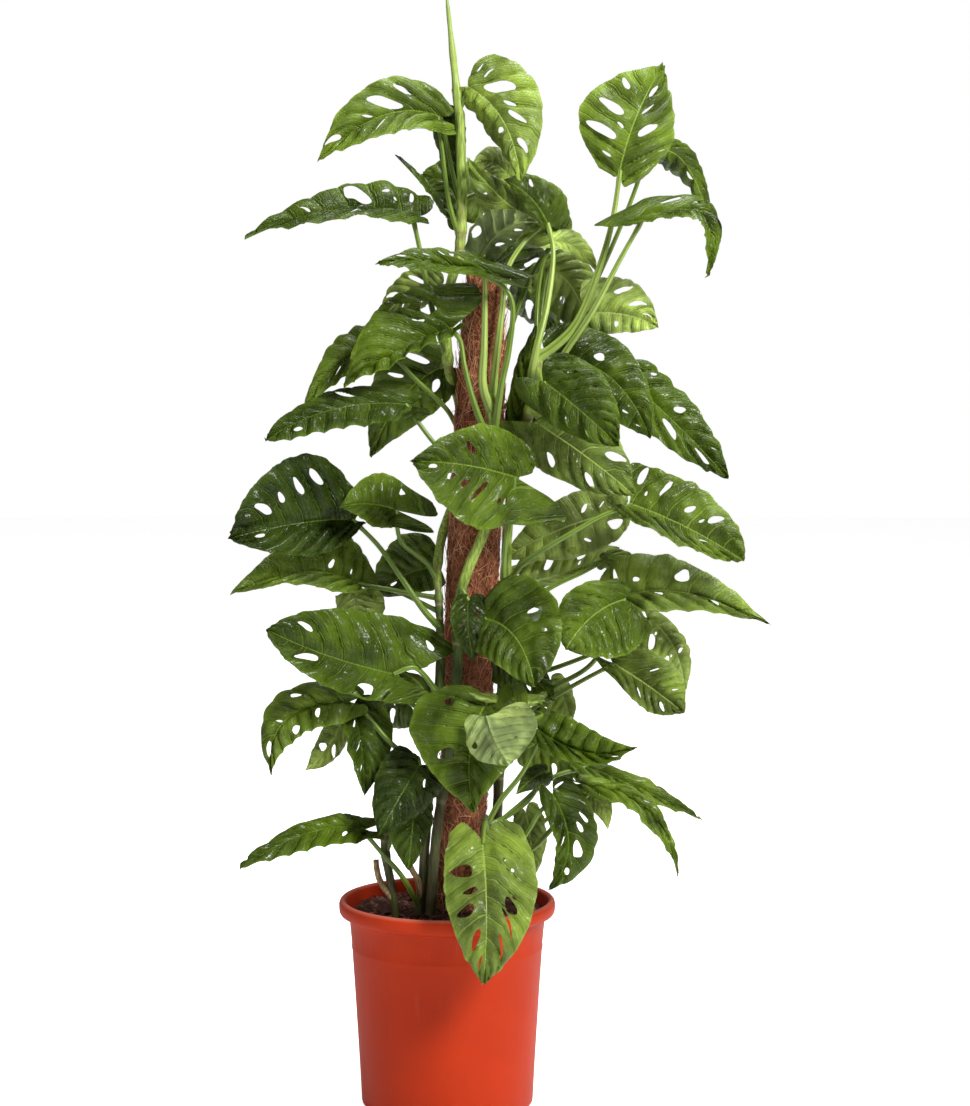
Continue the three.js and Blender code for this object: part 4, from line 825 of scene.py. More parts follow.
         0.02, 0.3)]], lobe=[1.18, 1], full=0.85, thick=3.4, tone="young"),
    # back
    leaf("58", "f", 740, rib=[[44, 745, 84], [44, 730, 150], [34, 690, 209]], left=[42, 8], right=[40,
         8], windows=["OO", "OO"], tone="fresh"),
    leaf("59", "f", 470, rib=[[34, 446, 84], [40, 430, 140], [24, 360, 200]], left=[40, 10], right=[38,
         10], windows=["OO", "OO"], tone="fresh"),
    leaf("60", "f", 600, rib=[[62, 560, 90], [80, 560, 140], [88, 498, 200]], left=[38, 10], right=[36,
         10], windows=["OO", "OO"], tone="fresh"),
    leaf("61", "f", 700, stalk=[[80, 800, 80]], rib=[[112, 822, 84], [136, 800, 140], [150, 736, 200]],
         left=[36, 12], right=[38, 10], windows=["OO", "OO"], tone="fresh"),
    leaf("62", "f", 750, stalk=[[52, 880, 80], [50, 800, 62]], rib=[[52, 940, 76], [100, 932, 120],
         [116, 864, 176]], left=[40.1, 10], right=[36, 10], windows=["OO", "OO"], broad=0.98,
         full=0.85),
    # small leaves in the dense middle
    leaf("63", "c", 820, stalk=[[104, 900, 44], [100, 850, 20]], rib=[[108, 938, 56], [146, 930, 60],
         [160, 852, 62]], left=[29, 12], right=[36.4, 10], windows=["", "o"], broad=0.9, full=0.9,
         shoulder=[-0.06, 0], tone="lime", fused=True),
    leaf("64", "c", 380, stalk=[[76, 404, 24]], rib=[[92, 416, 24], [136, 404, 28], [158, 370, 30]],
         left=[22, 12], right=[32.4, 10], windows=["", "o"], tone="bright", fused=True),
    leaf("65", "c", 556, stalk=[[150, 606, 12], [120, 592, 12]], rib=[[173, 620, 8], [207, 628, 8],
         [188, 574, 14]], left=[13.4, 10], right=[12, 6], windows=["", ""], thick=3, tone="young",
         fused=True),
    leaf("66", "a", 452, rib=[[-22, 470, -26], [-36, 494, -30], [-56, 494, -34]], left=[14, 10],
         right=[8, 8], windows=["", ""], tone="bright", fused=True),
    leaf("67", "c", 470, stalk=[[104, 458, -60]], rib=[[103, 463, -88], [64, 456, -96],
         [24, 472, -98]], left=[5, 8], right=[8, 12], windows=["", ""], tone="young", fused=True),
    leaf("68", "c", 500, rib=[[56, 510, -14], [88, 502, -18], [120, 462, -20]], left=[24, 12],
         right=[28, 10], windows=["o", "oo"], fused=True),
    leaf("69", "b", 560, stalk=[[14, 590, -60]], rib=[[24, 576, -64], [20, 546, -72], [30, 506, -74]],
         left=[21, 12], right=[19, -10], windows=["oo", "o"], tone="deep", fused=True),
    leaf("70", "c", 730, rib=[[78, 756, -8], [84, 812, -14], [98, 880, -16]], left=[16, 8],
         right=[14, 8], windows=["", ""], fused=True),
    leaf("71", "a", 1000, stalk=[[-2, 1085, 18], [6, 1045, 18]], rib=[[-7, 1106, 28], [-4, 1070, 36],
         [8, 1024, 38]], left=[25, 10], right=[10, 8], windows=["", ""], fused=True),
    leaf("72", "e", 330, stalk=[[92, 354, -32], [70, 336, -38]], rib=[[110, 384, -40], [94, 380, -46],
         [76, 358, -50]], left=[14, 10], right=[12, 8], windows=["", ""], tone="fresh", fused=True),
]


def half_of(leaf, key, w):
    """A setting of the left half where w is positive, and of the right elsewhere."""
    return np.where(w < 0, leaf[key][1], leaf[key][0])


def blade_points(leaf, u, w):
    """Where points of the blade lie, in mm: u runs along the midrib, w out from it."""
    base, bow, tip = leaf["rib"]
    s = np.maximum(u, 0)[:, None]
    spot = (1 - s) ** 2 * base + 2 * s * (1 - s) * bow + s ** 2 * tip
    spot[:, 2] = base[2] + REACH * (spot[:, 2] - base[2])
    spot += (np.minimum(u, 0) * half_of(leaf, "lobe", w))[:, None] * 2 * (bow - base)
    along = (2 * (1 - s) * (bow - base) + 2 * s * (tip - bow))[:, :2] + (tip - base)[:2]
    along /= np.linalg.norm(along, axis=1)[:, None]
    (left_width, left_curl), (right_width, right_curl) = leaf["sides"]
    out = np.abs(w)
    width = np.where(w < 0, right_width, left_width) * w
    curl = np.where(w < 0, right_curl, left_curl) * (0.35 * out + 0.65 * out ** 2)
    ripple = 3 * out ** 2 * np.sin(9 * u + 4 * w + tip[0])
    ripple += 1.1 * out ** 4 * np.sin(31 * u + tip[1])
    return placed(np.column_stack([spot[:, 0] - along[:, 1] * width, spot[:, 1] + along[:, 0] * width,
                                   spot[:, 2] + curl + ripple]))


def blade_facings(leaf, u, w, step=0.015):
    """The way the blade faces at those points."""
    run = blade_points(leaf, u + step, w) - blade_points(leaf, u - step, w)
    spread = blade_points(leaf, u, w + step) - blade_points(leaf, u, w - step)
    facing = np.cross(run, spread)
    return facing / np.maximum(np.linalg.norm(facing, axis=1), 1e-9)[:, None]


def even_loop(points, spacing):
    """A line through flat points, cut evenly."""
    line = np.array(points, float)
    run = np.concatenate([[0], np.cumsum(np.linalg.norm(np.diff(line, axis=0), axis=1))])
    cuts = np.linspace(0, run[-1], max(5, int(round(run[-1] / spacing)) + 1))
    return np.column_stack([np.interp(cuts, run, line[:, i]) for i in range(2)])


def inside(points, loop):
    """Which points lie inside a closed loop."""
    x, y = points[:, :1], points[:, 1:]
    x1, y1 = loop[:, 0], loop[:, 1]
    x2, y2 = np.roll(x1, -1), np.roll(y1, -1)
    crosses = (y1 > y) != (y2 > y)
    at = (x2 - x1) * (y - y1) / np.where(y2 == y1, 1e-12, y2 - y1) + x1
    return (crosses & (x < at)).sum(1) % 2 == 1


def reach_out(u):
    """How far out the plain heart shape reaches beside a place on the midrib."""
    return np.interp(u, [p[0] for p in HALF_OUTLINE[4:]], [p[1] for p in HALF_OUTLINE[4:]])


def spread_half(leaf, side, u, v, size):
    """Half-leaf places (along, out) laid out flat in mm, the left half upwards."""
    k = 0 if side > 0 else 1
    along = np.where(u > 0, np.abs(u) ** leaf["broad"], u)
    out = np.abs(v) ** leaf["full"] * np.maximum(0.2, 1 - leaf["shoulder"][k] * (1 - u) ** 5)
    return np.column_stack([along * size[0], side * out * size[1 + k]])


def windows_of(leaf, side, dice):
    """The holes of one half, wider towards the midrib: places given, or by a row of marks."""
    marks = leaf["windows"][0 if side > 0 else 1]
    holes = [] if isinstance(marks, str) else list(marks)
    if isinstance(marks, str):
        for i, mark in enumerate(marks):
            pitch = 0.72 / len(marks)
            near, far, half = WINDOWS[mark]
            near, far = near + dice.uniform(-0.05, 0.06), far + dice.uniform(-0.08, 0.05)
            middle = 0.1 + pitch * (i + 0.5) + dice.uniform(-0.012, 0.012)
            holes.append((middle, near, far, half * dice.uniform(0.85, 1.15), VEIN_SLANT))
            if mark == "O" and dice.random() < 0.55 and near > 0.18:
                holes.append((middle - 0.2 * pitch, 0.1, near - 0.03, 0.014, VEIN_SLANT))
            if mark != "-" and dice.random() < 0.3:
                holes.append((middle + 0.46 * pitch, 0.55, 0.8, 0.012, VEIN_SLANT))
    turns = np.linspace(0, 2 * pi, 44)
    for middle, near, far, half, slant in holes:
        lengthwise = -np.cos(turns)
        across = np.sign(np.sin(turns)) * np.abs(np.sin(turns)) ** 0.85
        across = across * (1 - 0.3 * lengthwise) * (1 + 0.1 * np.sin(3 * turns + 9 * middle))
        out = (near + far) / 2 + lengthwise * (far - near) / 2
        u = middle + half * 0.9 * across + slant * (out - (near + far) / 2)
        yield u, out * reach_out(u)


def rim_and_holes(leaf, dice, size, spacing):
    """The blade's slightly uneven rim, and its holes, as loops of flat points in mm."""
    outline = course([(u, v, 0) for u, v in HALF_OUTLINE], 0.01)
    holes, rims = [], []
    for side in (1, -1):
        half = spread_half(leaf, side, outline[:, 0], np.maximum(outline[:, 1], 0), size)
        rims.append(even_loop(half, spacing))
        for u, v in windows_of(leaf, side, dice):
            hole = even_loop(spread_half(leaf, side, u, v, size), spacing * 0.8)[:-1]
            if len(hole) > 4:
                holes.append(hole)
    rim = np.vstack([rims[0][:-1], rims[1][::-1][:-1]])
    away = rim - (0.4 * size[0], 0)
    shift = dice.uniform(0, 50)
    swell = [1 + 0.03 * noise.noise(Vector((x / 12, y / 12, shift)))
             + 0.012 * noise.noise(Vector((x / 4, y / 4, shift))) for x, y in rim]
    still = np.clip(np.linalg.norm(rim, axis=1) / 20, 0, 1)
    return rim + away * ((np.array(swell) - 1) * still)[:, None], holes


def spots_within(rim, holes, length, spacing):
    """Even places on the blade, in rows beside the midrib, clear of every edge."""
    low, high = rim.min(0), rim.max(0)
    rows = np.arange(low[1], high[1], spacing * 0.866)
    spots = np.array([(x + (k % 2) * spacing / 2, y) for k, y in enumerate(rows)
                      for x in np.arange(low[0], high[0], spacing)])
    spots = spots[np.abs(spots[:, 1]) > 3.4]
    along = np.arange(0.5, length - 1, spacing * 0.8)
    lines = [np.column_stack([along, np.full(len(along), y)]) for y in (-2.3, -1, 0, 1, 2.3)]
    spots = np.vstack([spots, *lines])
    spots = spots[on_blade(spots, rim, holes)]
    border = np.vstack([rim, *holes])
    gap = np.full(len(spots), np.inf)
    for part in np.array_split(border, max(1, len(border) // 60)):
        gap = np.minimum(gap, np.linalg.norm(spots[:, None] - part[None], axis=2).min(1))
    return spots[gap > np.where(np.abs(spots[:, 1]) < 2.5, 0.4, 0.55) * spacing]


def on_blade(points, rim, holes):
    """Which flat points lie within the rim and outside every hole."""
    keep = inside(points, rim)
    for hole in holes:
        keep &= ~inside(points, hole)
    return keep


def flat_blade(leaf, dice, spacing):
    """The blade cut into even triangles: flat points in mm, faces and sizes."""
    rib = blade_points(leaf, np.linspace(0, 1, 30), np.zeros(30))
    length = np.linalg.norm(np.diff(rib, axis=0), axis=1).sum()
    size = (length, *(max(4, hypot(width, 0.85 * curl)) for width, curl in leaf["sides"]))
    rim, holes = rim_and_holes(leaf, dice, size, spacing)
    edges, start = [], 0
    for loop in [rim, *holes]:
        count = len(loop)
        edges += [(start + i, start + (i + 1) % count) for i in range(count)]
        start += count
    spots = np.vstack([rim, *holes, spots_within(rim, holes, length, spacing)])
    found, _, faces, *_ = delaunay_2d_cdt([Vector(p) for p in spots], edges, [], 0, 1e-4, False)
    flat = np.array([tuple(p) for p in found])
    faces = np.array([tuple(f) for f in faces])
    faces = faces[on_blade(flat[faces].mean(1), rim, holes)]
    a, b, c = (flat[faces[:, i]] for i in range(3))
    ab, ac = b - a, c - a
    turned = ab[:, 0] * ac[:, 1] - ac[:, 0] * ab[:, 1] < 0
    faces[turned] = faces[turned][:, ::-1]
    used = np.unique(faces)
    renumber = np.full(len(flat), -1)
    renumber[used] = np.arange(len(used))
    return flat[used], renumber[faces], size


def veins_of(leaf, side, u0, out):
    """Counts along a half so that each whole number falls on a side vein, between holes."""
    marks = leaf["windows"][0 if side > 0 else 1]
    if isinstance(marks, str):
        panels = {0: 5, 1: 5, 2: 6}.get(len(marks), len(marks))
        middles = [0.1 + 0.72 / panels * (i + 0.5) for i in range(panels)]
        slant = VEIN_SLANT
    else:
        large = sorted(hole[0] for hole in marks if hole[3] > 0.018) or [0.4]
        slant = min(max(sum(hole[4] for hole in marks) / len(marks), 0.05), 0.35)
        middles = [large[0]]
        for u in large[1:]:
            start, gap = middles[-1], u - middles[-1]
            if gap > 0.07:
                steps = max(1, round(gap / 0.16))
                middles += [start + gap * k / steps for k in range(1, steps + 1)]
        while middles[0] > 0.2:
            middles.insert(0, middles[0] - 0.15)
        while middles[-1] < 0.75:
            middles.append(middles[-1] + 0.14)
    pitch = (middles[-1] - middles[0]) / max(len(middles) - 1, 1) or 0.15
    middles = [middles[0] - pitch, *middles, middles[-1] + pitch]
    at = u0 - slant * (out - 0.5)
    inner = np.interp(at, middles, np.arange(len(middles)) - 0.5)
    beyond = (np.minimum(at - middles[0], 0) + np.maximum(at - middles[-1], 0)) / pitch
    return inner + beyond, pitch


def blade_mesh(leaf, dice, spacing):
    """Both faces of the blade and its rim, with the numbers its finish follows."""
    flat, faces, size = flat_blade(leaf, dice, spacing)
    tilt = dice.uniform(0, pi)
    length = size[0]
    side = np.where(flat[:, 1] < 0, -1, 1)
    reach = np.where(side > 0, size[1], size[2])
    u, w = flat[:, 0] / length, flat[:, 1] / reach
    u0 = np.where(u > 0, np.abs(u) ** (1 / leaf["broad"]), u)
    narrow = np.maximum(0.2, 1 - np.where(side > 0, *leaf["shoulder"]) * (1 - u0) ** 5)
    plain = (np.abs(w) / narrow) ** (1 / leaf["full"])
    out = np.clip(plain / np.maximum(reach_out(u0), 0.05), 0, 1.2)
    counts = {k: veins_of(leaf, k, u0, out) for k in (1, -1)}
    count = np.where(side > 0, counts[1][0], counts[-1][0])
    pitch = np.where(side > 0, counts[1][1], counts[-1][1]) * length
    middle = blade_points(leaf, u, w)
    facing = blade_facings(leaf, u, w)
    crown = np.abs(np.sin(pi * count)) ** 0.7 * np.minimum(0.28 * pitch, 5.5)
    crown *= np.clip(out / 0.2, 0, 1) * (1 - 0.5 * np.clip(out, 0, 1) ** 3)
    crown *= 0.75 + 0.5 * np.abs(np.sin(2.4 * np.floor(count) + tilt))
    beside = np.abs(flat[:, 1])
    fade = 1 - 0.7 * np.clip(u, 0, 1)
    groove = -0.9 * fade * np.exp(-(beside / 1.5) ** 2)
    shift = dice.uniform(0, 50)
    pucker = np.array([0.5 * noise.fractal(Vector((x / 8 + shift, y / 7, shift)), 0.9, 2, 2)
                       + 1.8 * noise.noise(Vector((x / 14, y / 11, shift)))
                       + 4.5 * noise.noise(Vector((x / 34, y / 26 + shift, shift)))
                       for x, y in flat]) * np.clip(beside / 7, 0.1, 1)
    way = -1 if leaf["under"] else 1
    relief = way * (crown + groove + pucker - 0.6 * np.clip(out, 0, 1) ** 8)
    ridge = 1.5 * fade * np.exp(-(beside / 1.7) ** 2)
    top_lift = BLADE / 2 + relief + (ridge if leaf["under"] else 0)
    low_lift = -BLADE / 2 + relief - (0 if leaf["under"] else ridge)
    top = middle + facing * top_lift[:, None]
    low = middle + facing * low_lift[:, None]
    total = len(flat)
    edges = dict.fromkeys(edge for a, b, c in faces for edge in ((a, b), (b, c), (c, a)))
    rim = [(p, p + total, q + total, q) for p, q in edges if (q, p) not in edges]
    made = [tuple(f) for f in faces] + [tuple(f[::-1] + total) for f in faces] + rim
    upper, lower = (1, 0) if leaf["under"] else (0, 1)
    kinds = [upper] * len(faces) + [lower] * len(faces) + [upper] * len(rim)
    vein_uv = {k: np.column_stack([counts[k][0], out]) for k in (1, -1)}
    lay_uv = flat / 100
    face_side = np.where(flat[faces].mean(1)[:, 1] < 0, -1, 1)
    sides = list(face_side) + list(face_side) + [1 if flat[p][1] >= 0 else -1 for p, *_ in rim]
    return np.vstack([top, low]), made, kinds, sides, vein_uv, lay_uv, total


def stalk_line(leaf):
    """From the underside of the blade's notch down to the stem."""
    sunk = blade_points(leaf, np.array([0.03]), np.array([0.0]))
    way = placed(leaf["stalk"]) if leaf["stalk"] else np.zeros((0, 3))
    return course(np.vstack([sunk, way, on_vine(leaf["vine"], leaf["foot"])[None]]), 3)


def stalk_mesh(leaf):
    """The stalk: thick where it clasps the stem, slim above, grooved along its top."""
    line = stalk_line(leaf)
    run = np.linspace(0, 1, len(line))
    slim = min(2.3, leaf["thick"])
    radii = slim + (leaf["thick"] * 1.12 - slim) * run ** 1.2
    radii += 0.5 * np.exp(-((run * len(line) * 3 - 9) / 6) ** 2)
    radii[-4:] *= 1.12
    grooved = lambda turns: (1 - 0.2 * np.exp(-((turns - pi / 2) / 0.5) ** 2)
                             + 0.03 * np.cos(5 * turns))
    sides = 14
    vertices, faces = swept(line, radii, sides, grooved)
    lay = []
    for face in faces:
        for index in face:
            if index >= len(line) * sides:
                lay.append((0.5, 0.5))
            else:
                turn = index % sides
                if turn == 0 and any(other % sides == sides - 1 for other in face):
                    turn = sides
                lay.append((index // sides * 0.03, turn / sides))
    return vertices, faces, lay


def blade_skin(name, body, vein, roughness, raised):
    """Leaf skin: mottled green, pale veins and midrib, a net of fine veins, and a painted highlight
    along the edges.
    """
    material, shader, node, link = finish(name, roughness, 0.2)
    place = node("TexCoord").outputs["Object"]
    veins = node("SeparateXYZ", {"Vector": node("UVMap", uv_map="veins").outputs["UV"]})
    lay = node("SeparateXYZ", {"Vector": node("UVMap", uv_map="lay").outputs["UV"]})
    out = veins.outputs["Y"]

    def line_at(count, width):
        """1 on the whole numbers of a count, 0 beyond a width."""
        part = maths(node, "FRACT", count)
        off = maths(node, "SUBTRACT", part, 0.5)
        far = maths(node, "ABSOLUTE", off)
        return spanned(node, far, (0.5 - width, 0.5 - width * 0.25), interpolation_type="SMOOTHSTEP")

    wander = noise_of(node, place, 70, 2)
    drift = maths(node, "MULTIPLY", wander, 0.25)
    count = maths(node, "ADD", veins.outputs["X"], drift)
    main = line_at(maths(node, "SUBTRACT", count, 0.125), 0.075)
    minor = line_at(maths(node, "MULTIPLY", count, 4.0), 0.14)
    fading = spanned(node, out, (0.2, 1.0), (1.0, 0.25))
    main = maths(node, "MULTIPLY", main, fading)
    beside = maths(node, "ABSOLUTE", lay.outputs["Y"])
    taper = spanned(node, lay.outputs["X"], (0.0, 1.3), (0.012, 0.005))
    share = maths(node, "DIVIDE", beside, taper)
    rib = spanned(node, share, (1.15, 0.55), interpolation_type="SMOOTHSTEP")
    cells = node("TexVoronoi", {"Vector": place, "Scale": 300}, feature="DISTANCE_TO_EDGE")
    net = spanned(node, cells.outputs["Distance"], (0.10, 0.0))
    mottle = noise_of(node, place, 30, 3, Roughness=0.5)
    broadly = noise_of(node, place, 11, 2)
    both = maths(node, "ADD", mottle, broadly)
    half = maths(node, "MULTIPLY", both, 0.5)
    dark = tuple(c * 0.45 for c in body)
    light = (body[0] * 1.75, body[1] * 1.7, body[2] * 1.4)
    colour = ramp_node(node, half, [(0.39, dark), (0.5, body), (0.61, light)])
    # Painted light: towards the edges the green is blended into a lighter, yellower copy of itself, as
    # if the raised margins caught the light.
    lift = min(2.1, 0.2 / body[1])
    lime = (body[0] * lift, body[1] * lift, body[2] * lift * 0.8)
    band = spanned(node, out, (0.62, 1.0), (0, 0.55), interpolation_type="SMOOTHSTEP")
    uneven_edge_light = maths(node, "MULTIPLY", band, broadly)
    edge_light_share = maths(node, "MULTIPLY", uneven_edge_light, 1.6, use_clamp=True)
    colour = blend(node, edge_light_share, colour, lime)
    pale_rib = tuple(min(1, c * 1.2) for c in vein)
    for line, share, shade in ((net, 0.12, vein), (minor, 0.10, vein), (main, 0.42, vein),
                               (rib, 0.75, pale_rib)):
        colour = blend(node, maths(node, "MULTIPLY", line, share), colour, shade)
    # The thin margin line in vein colour is partly the leaf's own pale edge and partly painted light
    # along it.
    margin = spanned(node, out, (0.93, 1.0), (0.0, 0.35))
    link(blend(node, margin, colour, vein), shader.inputs["Base Color"])
    way = 1 if raised else -1
    height = maths(node, "MULTIPLY", main, 0.7 * way)
    for source, weight in ((minor, 0.3 * way), (net, 0.12 * way), (mottle, 0.8)):
        height = maths(node, "MULTIPLY_ADD", source, weight, height)
    roughen(node, link, shader, height, 0.9, 0.0022)
    uneven = spanned(node, mottle, (0.3, 0.7), (roughness - 0.07, roughness + 0.1))
    link(uneven, shader.inputs["Roughness"])
    return material


def stalk_skin(name, low, high):
    """Smooth grooved leaf stalk, streaked along its length, with painted shade down its groove."""
    material, shader, node, link = finish(name, 0.32, 0.35)
    lay = node("UVMap", uv_map="lay").outputs["UV"]
    drawn = stretched(node, lay, (1.2, 9, 1))
    streaks = noise_of(node, drawn, 3, 4)
    place = node("TexCoord").outputs["Object"]
    cloudy = noise_of(node, place, 20, 2)
    mixed = maths(node, "ADD", streaks, cloudy)
    half = maths(node, "MULTIPLY", mixed, 0.5)
    green = ramp_node(node, half, [(0.35, low), (0.65, high)])
    # Painted shade: the groove along the stalk's top is darkened, as shade falls into it.
    turn = node("SeparateXYZ", {"Vector": lay}).outputs["Y"]
    off = maths(node, "SUBTRACT", turn, 0.25)
    beside = maths(node, "ABSOLUTE", off)
    groove = spanned(node, beside, (0.06, 0.02), (0, 0.7))
    shade = tuple(c * 0.45 for c in low)
    link(blend(node, groove, green, shade), shader.inputs["Base Color"])
    fine = noise_of(node, place, 1400, 2)
    roughen(node, link, shader, fine, 0.08, 0.0003)
    return material


SKINS = {tone: (blade_skin(f"upper_{tone}", upper, vein, 0.25, False),
                blade_skin(f"under_{tone}", under, vein, 0.55, True))
         for tone, (upper, under, vein, _) in TONES.items()}
STALKS = {
    "mature": stalk_skin("stalk_green", (0.075, 0.13, 0.012), (0.19, 0.28, 0.04)),
    "young": stalk_skin("stalk_pale", (0.15, 0.23, 0.03), (0.33, 0.42, 0.10)),
}


def leaf_piece(leaf):
    """A dressed leaf: blade and stalk in one mesh, with the places that its finish reads."""
    dice = random.Random(int(leaf["name"]))
    spacing = MESH_SPACING
    points, faces, kinds, sides, vein_uv, lay_uv, total = blade_mesh(leaf, dice, spacing)
    stalk_points, stalk_faces, stalk_lay = stalk_mesh(leaf)
    start = len(points)
    name = f"leaf_{leaf['name']}_dressed"
    mesh = bpy.data.meshes.new(name)
    every = faces + [tuple(i + start for i in face) for face in stalk_faces]
    mesh.from_pydata((np.vstack([points, stalk_points]) * MM).tolist(), [], every)
    for material in (*SKINS[leaf["tone"]], STALKS["young" if leaf["thick"] > 4 else "mature"]):
        mesh.materials.append(material)
    mesh.polygons.foreach_set("material_index", kinds + [2] * len(stalk_faces))
    mesh.polygons.foreach_set("use_smooth", [True] * len(every))
    veins, lay = [], []
    for face, side in zip(faces, sides):
        for index in face:
            veins.append(vein_uv[side][index % total])
            lay.append(lay_uv[index % total])
    veins += [(0.5, 0.0)] * len(stalk_lay)
    lay += stalk_lay
    for key, values in (("veins", veins), ("lay", lay)):
        layer = mesh.uv_layers.new(name=key)
        layer.data.foreach_set("uv", np.array(values, np.float32).ravel())
    piece = bpy.data.objects.new(name, mesh)
    bpy.context.scene.collection.objects.link(piece)
    bpy.context.view_layer.objects.active = piece
    piece.select_set(True)
    bpy.ops.object.shade_smooth_by_angle(angle=radians(55))
    piece.select_set(False)
    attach(piece, "root")
    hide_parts(f"vine_{leaf['vine']}" if leaf["fused"] else f"leaf_{leaf['name']}")


for row in LEAVES:
    leaf_piece(row)


# ------------------------------------------------------------------ old stubs
# The dry ends of two stalks that were cut back near the soil. Each is pale, split
# wood, and still stands on the stem that it grew from.
OLD_STUBS = [("d", 246, [(-75, 262, -43), (-78, 274, -45), (-79, 284, -46)]),
             ("a", 244, [(-33, 262, -42), (-39, 273, -46), (-42, 281, -48)])]
STUB_SIDES = 12


def cut_wood():
    """Dry ends of old stalks: pale brown, split along the grain."""
    material, shader, node, link = finish("cut_wood", 0.85, 0.2)
    place = node("TexCoord").outputs["Object"]
    drawn = stretched(node, place, (1, 1, 0.15))
    grain = noise_of(node, drawn, 900, 4)
    colour = ramp_node(node, grain, [(0.35, (0.16, 0.10, 0.045)), (0.65, (0.48, 0.33, 0.17))])
    link(colour, shader.inputs["Base Color"])
    roughen(node, link, shader, grain, 0.5, 0.0006)
    return material


dry = cut_wood()
for letter, foot, way in OLD_STUBS:
    line = course(np.vstack([on_vine(letter, foot)[None], placed(way)]), 2)
    thinning = np.linspace(4, 3, len(line))
    vertices, faces = swept(line, thinning, STUB_SIDES, lambda turns: 1 + 0.08 * np.cos(3 * turns + 1))
    torn = (len(line) - 1) * STUB_SIDES
    vertices[torn:, 2] += 1.2 * np.sin(np.arange(len(vertices) - torn) * 2.1)
    mesh_piece(f"old_stub_{letter}", vertices * MM, faces, dry, [f"vine_{letter}"], "stem")

# ------------------------------------------------------------------ stems
# The climbing stems: bright green above and darker green lower down, partly with age
# and partly as painted shade under the dense leaves, corky near the soil, with a ring
# scar and a slight swelling wherever a leaf stalk springs from them. The leader ends
# in the spear, which is the next leaf, still rolled up.
STEM_SIDES = 20
SPEAR_RINGS = 60


def stem_skin():
    """Green stem skin, darker lower down partly with age and partly as painted shade, corky and brown
    low down, with pale ring scars.
    """
    material, shader, node, link = finish("stem_skin", 0.5, 0.3)
    place = node("TexCoord").outputs["Object"]
    height = node("SeparateXYZ", {"Vector": place}).outputs["Z"]
    scar = node("Attribute", attribute_name="scar").outputs["Fac"]
    drawn = stretched(node, place, (1, 1, 0.12))
    streaks = noise_of(node, drawn, 500, 4)
    blotch = noise_of(node, place, 45, 4)
    # The lower green is darkened partly for the stem's age and partly as painted shade under the dense
    # leaves; above about 0.58 m it gives way to the brighter green.
    older_shaded_green = ramp_node(node, streaks, [(0.3, (0.028, 0.050, 0.006)), (0.7, (0.078, 0.120, 0.016))])
    newer = ramp_node(node, streaks, [(0.35, (0.11, 0.19, 0.015)), (0.62, (0.36, 0.46, 0.09))])
    upper = spanned(node, height, (0.575, 0.61))
    green = blend(node, upper, older_shaded_green, newer)
    cork = ramp_node(node, streaks, [(0.3, (0.035, 0.03, 0.011)), (0.7, (0.10, 0.09, 0.035))])
    low = spanned(node, height, (0.28, 0.62), (0.75, 0.0))
    patchy = maths(node, "MULTIPLY", low, blotch)
    share = spanned(node, patchy, (0.12, 0.4))
    skin = blend(node, share, green, cork)
    link(blend(node, scar, skin, (0.24, 0.19, 0.09)), shader.inputs["Base Color"])
    roughen(node, link, shader, streaks, 0.35, 0.0008)
    return material


def stem_mesh(letter, feet):
    """The stem, swollen a little and scarred at each node."""
    line = vine_courses[letter]
    radius = VINES[letter][0]
    radii = np.full(len(line), radius * 0.94)
    if letter == "a":  # the leader is slimmer about half way up
        radii *= 1 - 0.28 * np.exp(-((line[:, 2] - 575) / 45) ** 4)
    scar = np.zeros(len(line))
    for foot in feet:
        away = line[:, 2] - foot
        radii += 0.9 * np.exp(-(away / 5) ** 2)
        scar = np.maximum(scar, np.exp(-((away + 7) / 1.4) ** 2))
    radii += 0.25 * np.sin(line[:, 2] * 0.21) * np.sin(line[:, 2] * 0.057)
    radii[-3:] *= (0.85, 0.6, 0.3)
    wavy = lambda turns: 1 + 0.035 * np.cos(3 * turns) + 0.02 * np.cos(7 * turns)
    vertices, faces = swept(line, radii, STEM_SIDES, wavy)
    marks = np.concatenate([np.repeat(scar, STEM_SIDES), [0, 0]])
    return vertices * MM, faces, marks


def spear_mesh():
    """The rolled young leaf above the leader: one edge wraps round it in a spiral."""
    low, high = placed([(15.5, 1090, 2), (0, 1237, 4)])
    shares = np.linspace(0, 1, SPEAR_RINGS)
    line = low + (high - low) * shares[:, None]
    radii = 5 * (1 - shares) ** 0.62 * (1 - 0.10 * np.sin(shares * 20)) + 0.5
    turns = np.arange(STEM_SIDES) / STEM_SIDES * 2 * pi
    vertices, faces = swept(line, radii, STEM_SIDES)
    rings = vertices[:-2].reshape(SPEAR_RINGS, STEM_SIDES, 3)
    beyond_edge = np.mod(turns[None, :] - shares[:, None] * 3.4, 2 * pi) - 1
    lip = 1 - 0.2 * np.exp(-(beyond_edge / 0.25) ** 2)
    rings = line[:, None, :] + (rings - line[:, None, :]) * lip[:, :, None]
    return np.vstack([rings.reshape(-1, 3), vertices[-2:]]) * MM, faces


skin = stem_skin()
for letter in VINES:
    feet = [row["foot"] for row in LEAVES if row["vine"] == letter]
    vertices, faces, marks = stem_mesh(letter, feet)
    stem = mesh_piece(f"stem_{letter}", vertices, faces, skin, [f"vine_{letter}"], "stem")
    scar = stem.data.attributes.new("scar", "FLOAT", "POINT")
    scar.data.foreach_set("value", marks.astype(np.float32))

vertices, faces = spear_mesh()
spear = mesh_piece("young_spear", vertices, faces, STALKS["young"], ["vine_a"], "stem")
layer = spear.data.uv_layers.new(name="lay")
lay = [(spear.data.vertices[loop.vertex_index].co.z * 10, 0.5) for loop in spear.data.loops]
layer.data.foreach_set("uv", np.array(lay, np.float32).ravel())

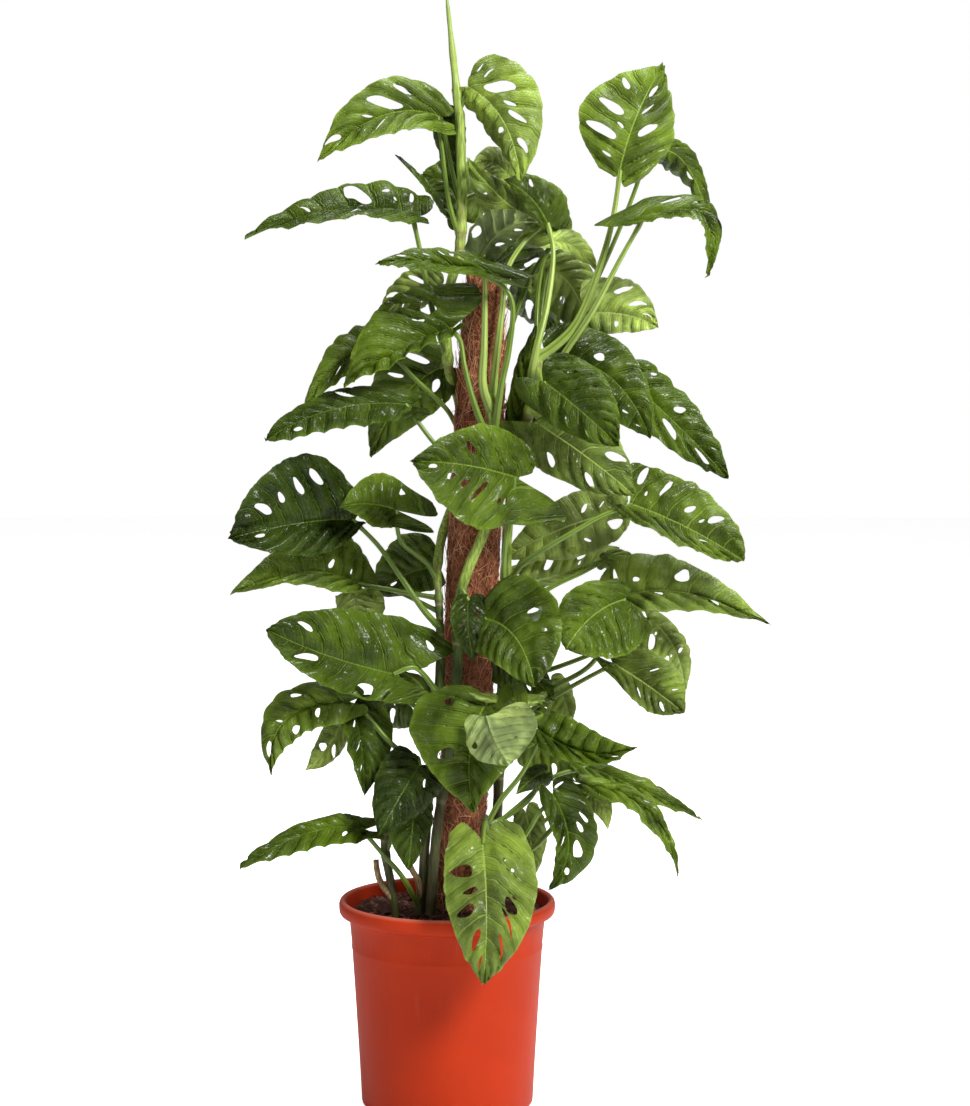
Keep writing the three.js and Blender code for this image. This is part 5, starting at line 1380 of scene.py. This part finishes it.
# ------------------------------------------------------------------ studio
# A pale floor, soft light from the front right and above, and the camera. The floor
# glows and the backdrop is bright where the camera sees them, and less on the plant.
FLOOR_GLOW = 0.82
WORLD_ON_PLANT = 0.13
PLANT_MIDDLE = (0.03, 0, 0.62)
LOOKED_AT = Vector((0.042, 0, 0.627))
bpy.ops.mesh.primitive_plane_add(size=14, location=(0, 0, 0))
floor = bpy.context.object
floor.name = "floor"
floor_paint, shader, node, link = finish("floor_paint", 0.9, 0.1)
place = node("TexCoord").outputs["Object"]
speck = noise_of(node, place, 3, 2)
link(ramp_node(node, speck, [(0.3, grey(0.86)), (0.7, grey(0.88))]), shader.inputs["Base Color"])
shader.inputs["Emission Color"].default_value = (1, 1, 1, 1)
lit = spanned(node, node("LightPath").outputs["Is Camera Ray"], (0, 1), (0, FLOOR_GLOW))
link(lit, shader.inputs["Emission Strength"])
floor.data.materials.append(floor_paint)
floor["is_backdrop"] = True

world = bpy.data.worlds.new("studio")
world.use_nodes = True
backdrop = world.node_tree.nodes["Background"]
backdrop.inputs["Color"].default_value = (1, 1, 1, 1)
seen = world.node_tree.nodes.new("ShaderNodeLightPath")
strength = world.node_tree.nodes.new("ShaderNodeMapRange")
strength.inputs["To Min"].default_value = WORLD_ON_PLANT
world.node_tree.links.new(seen.outputs["Is Camera Ray"], strength.inputs["Value"])
world.node_tree.links.new(strength.outputs["Result"], backdrop.inputs["Strength"])
bpy.context.scene.world = world


def soft_light(name, place, size, power):
    """A round area lamp turned to the plant."""
    lamp = bpy.data.lights.new(name, "AREA")
    lamp.shape = "DISK"
    lamp.size = size
    lamp.energy = power
    holder = bpy.data.objects.new(name, lamp)
    holder.location = place
    way = Vector(PLANT_MIDDLE) - Vector(place)
    holder.rotation_euler = way.to_track_quat("-Z", "Y").to_euler()
    bpy.context.scene.collection.objects.link(holder)


soft_light("key_light", (1.7, -2.1, 2.5), size=1.1, power=165)
soft_light("fill_light", (-2.4, -1.8, 1.4), size=1.6, power=16)
soft_light("top_light", (0.6, 0.5, 3.0), size=1.8, power=82)

camera_data = bpy.data.cameras.new("camera")
camera_data.lens = 104.36
camera_data.sensor_width = 36
camera = bpy.data.objects.new("camera", camera_data)
camera.location = EYE * MM
aim = LOOKED_AT - camera.location
camera.rotation_euler = aim.to_track_quat("-Z", "Y").to_euler()
bpy.context.scene.collection.objects.link(camera)
bpy.context.scene.camera = camera

bpy.context.scene.view_settings.view_transform = "Standard"
bpy.context.scene.view_settings.look = "None"

[[list(map(float, corner)) for corner in box] for box in (cad_box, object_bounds())]
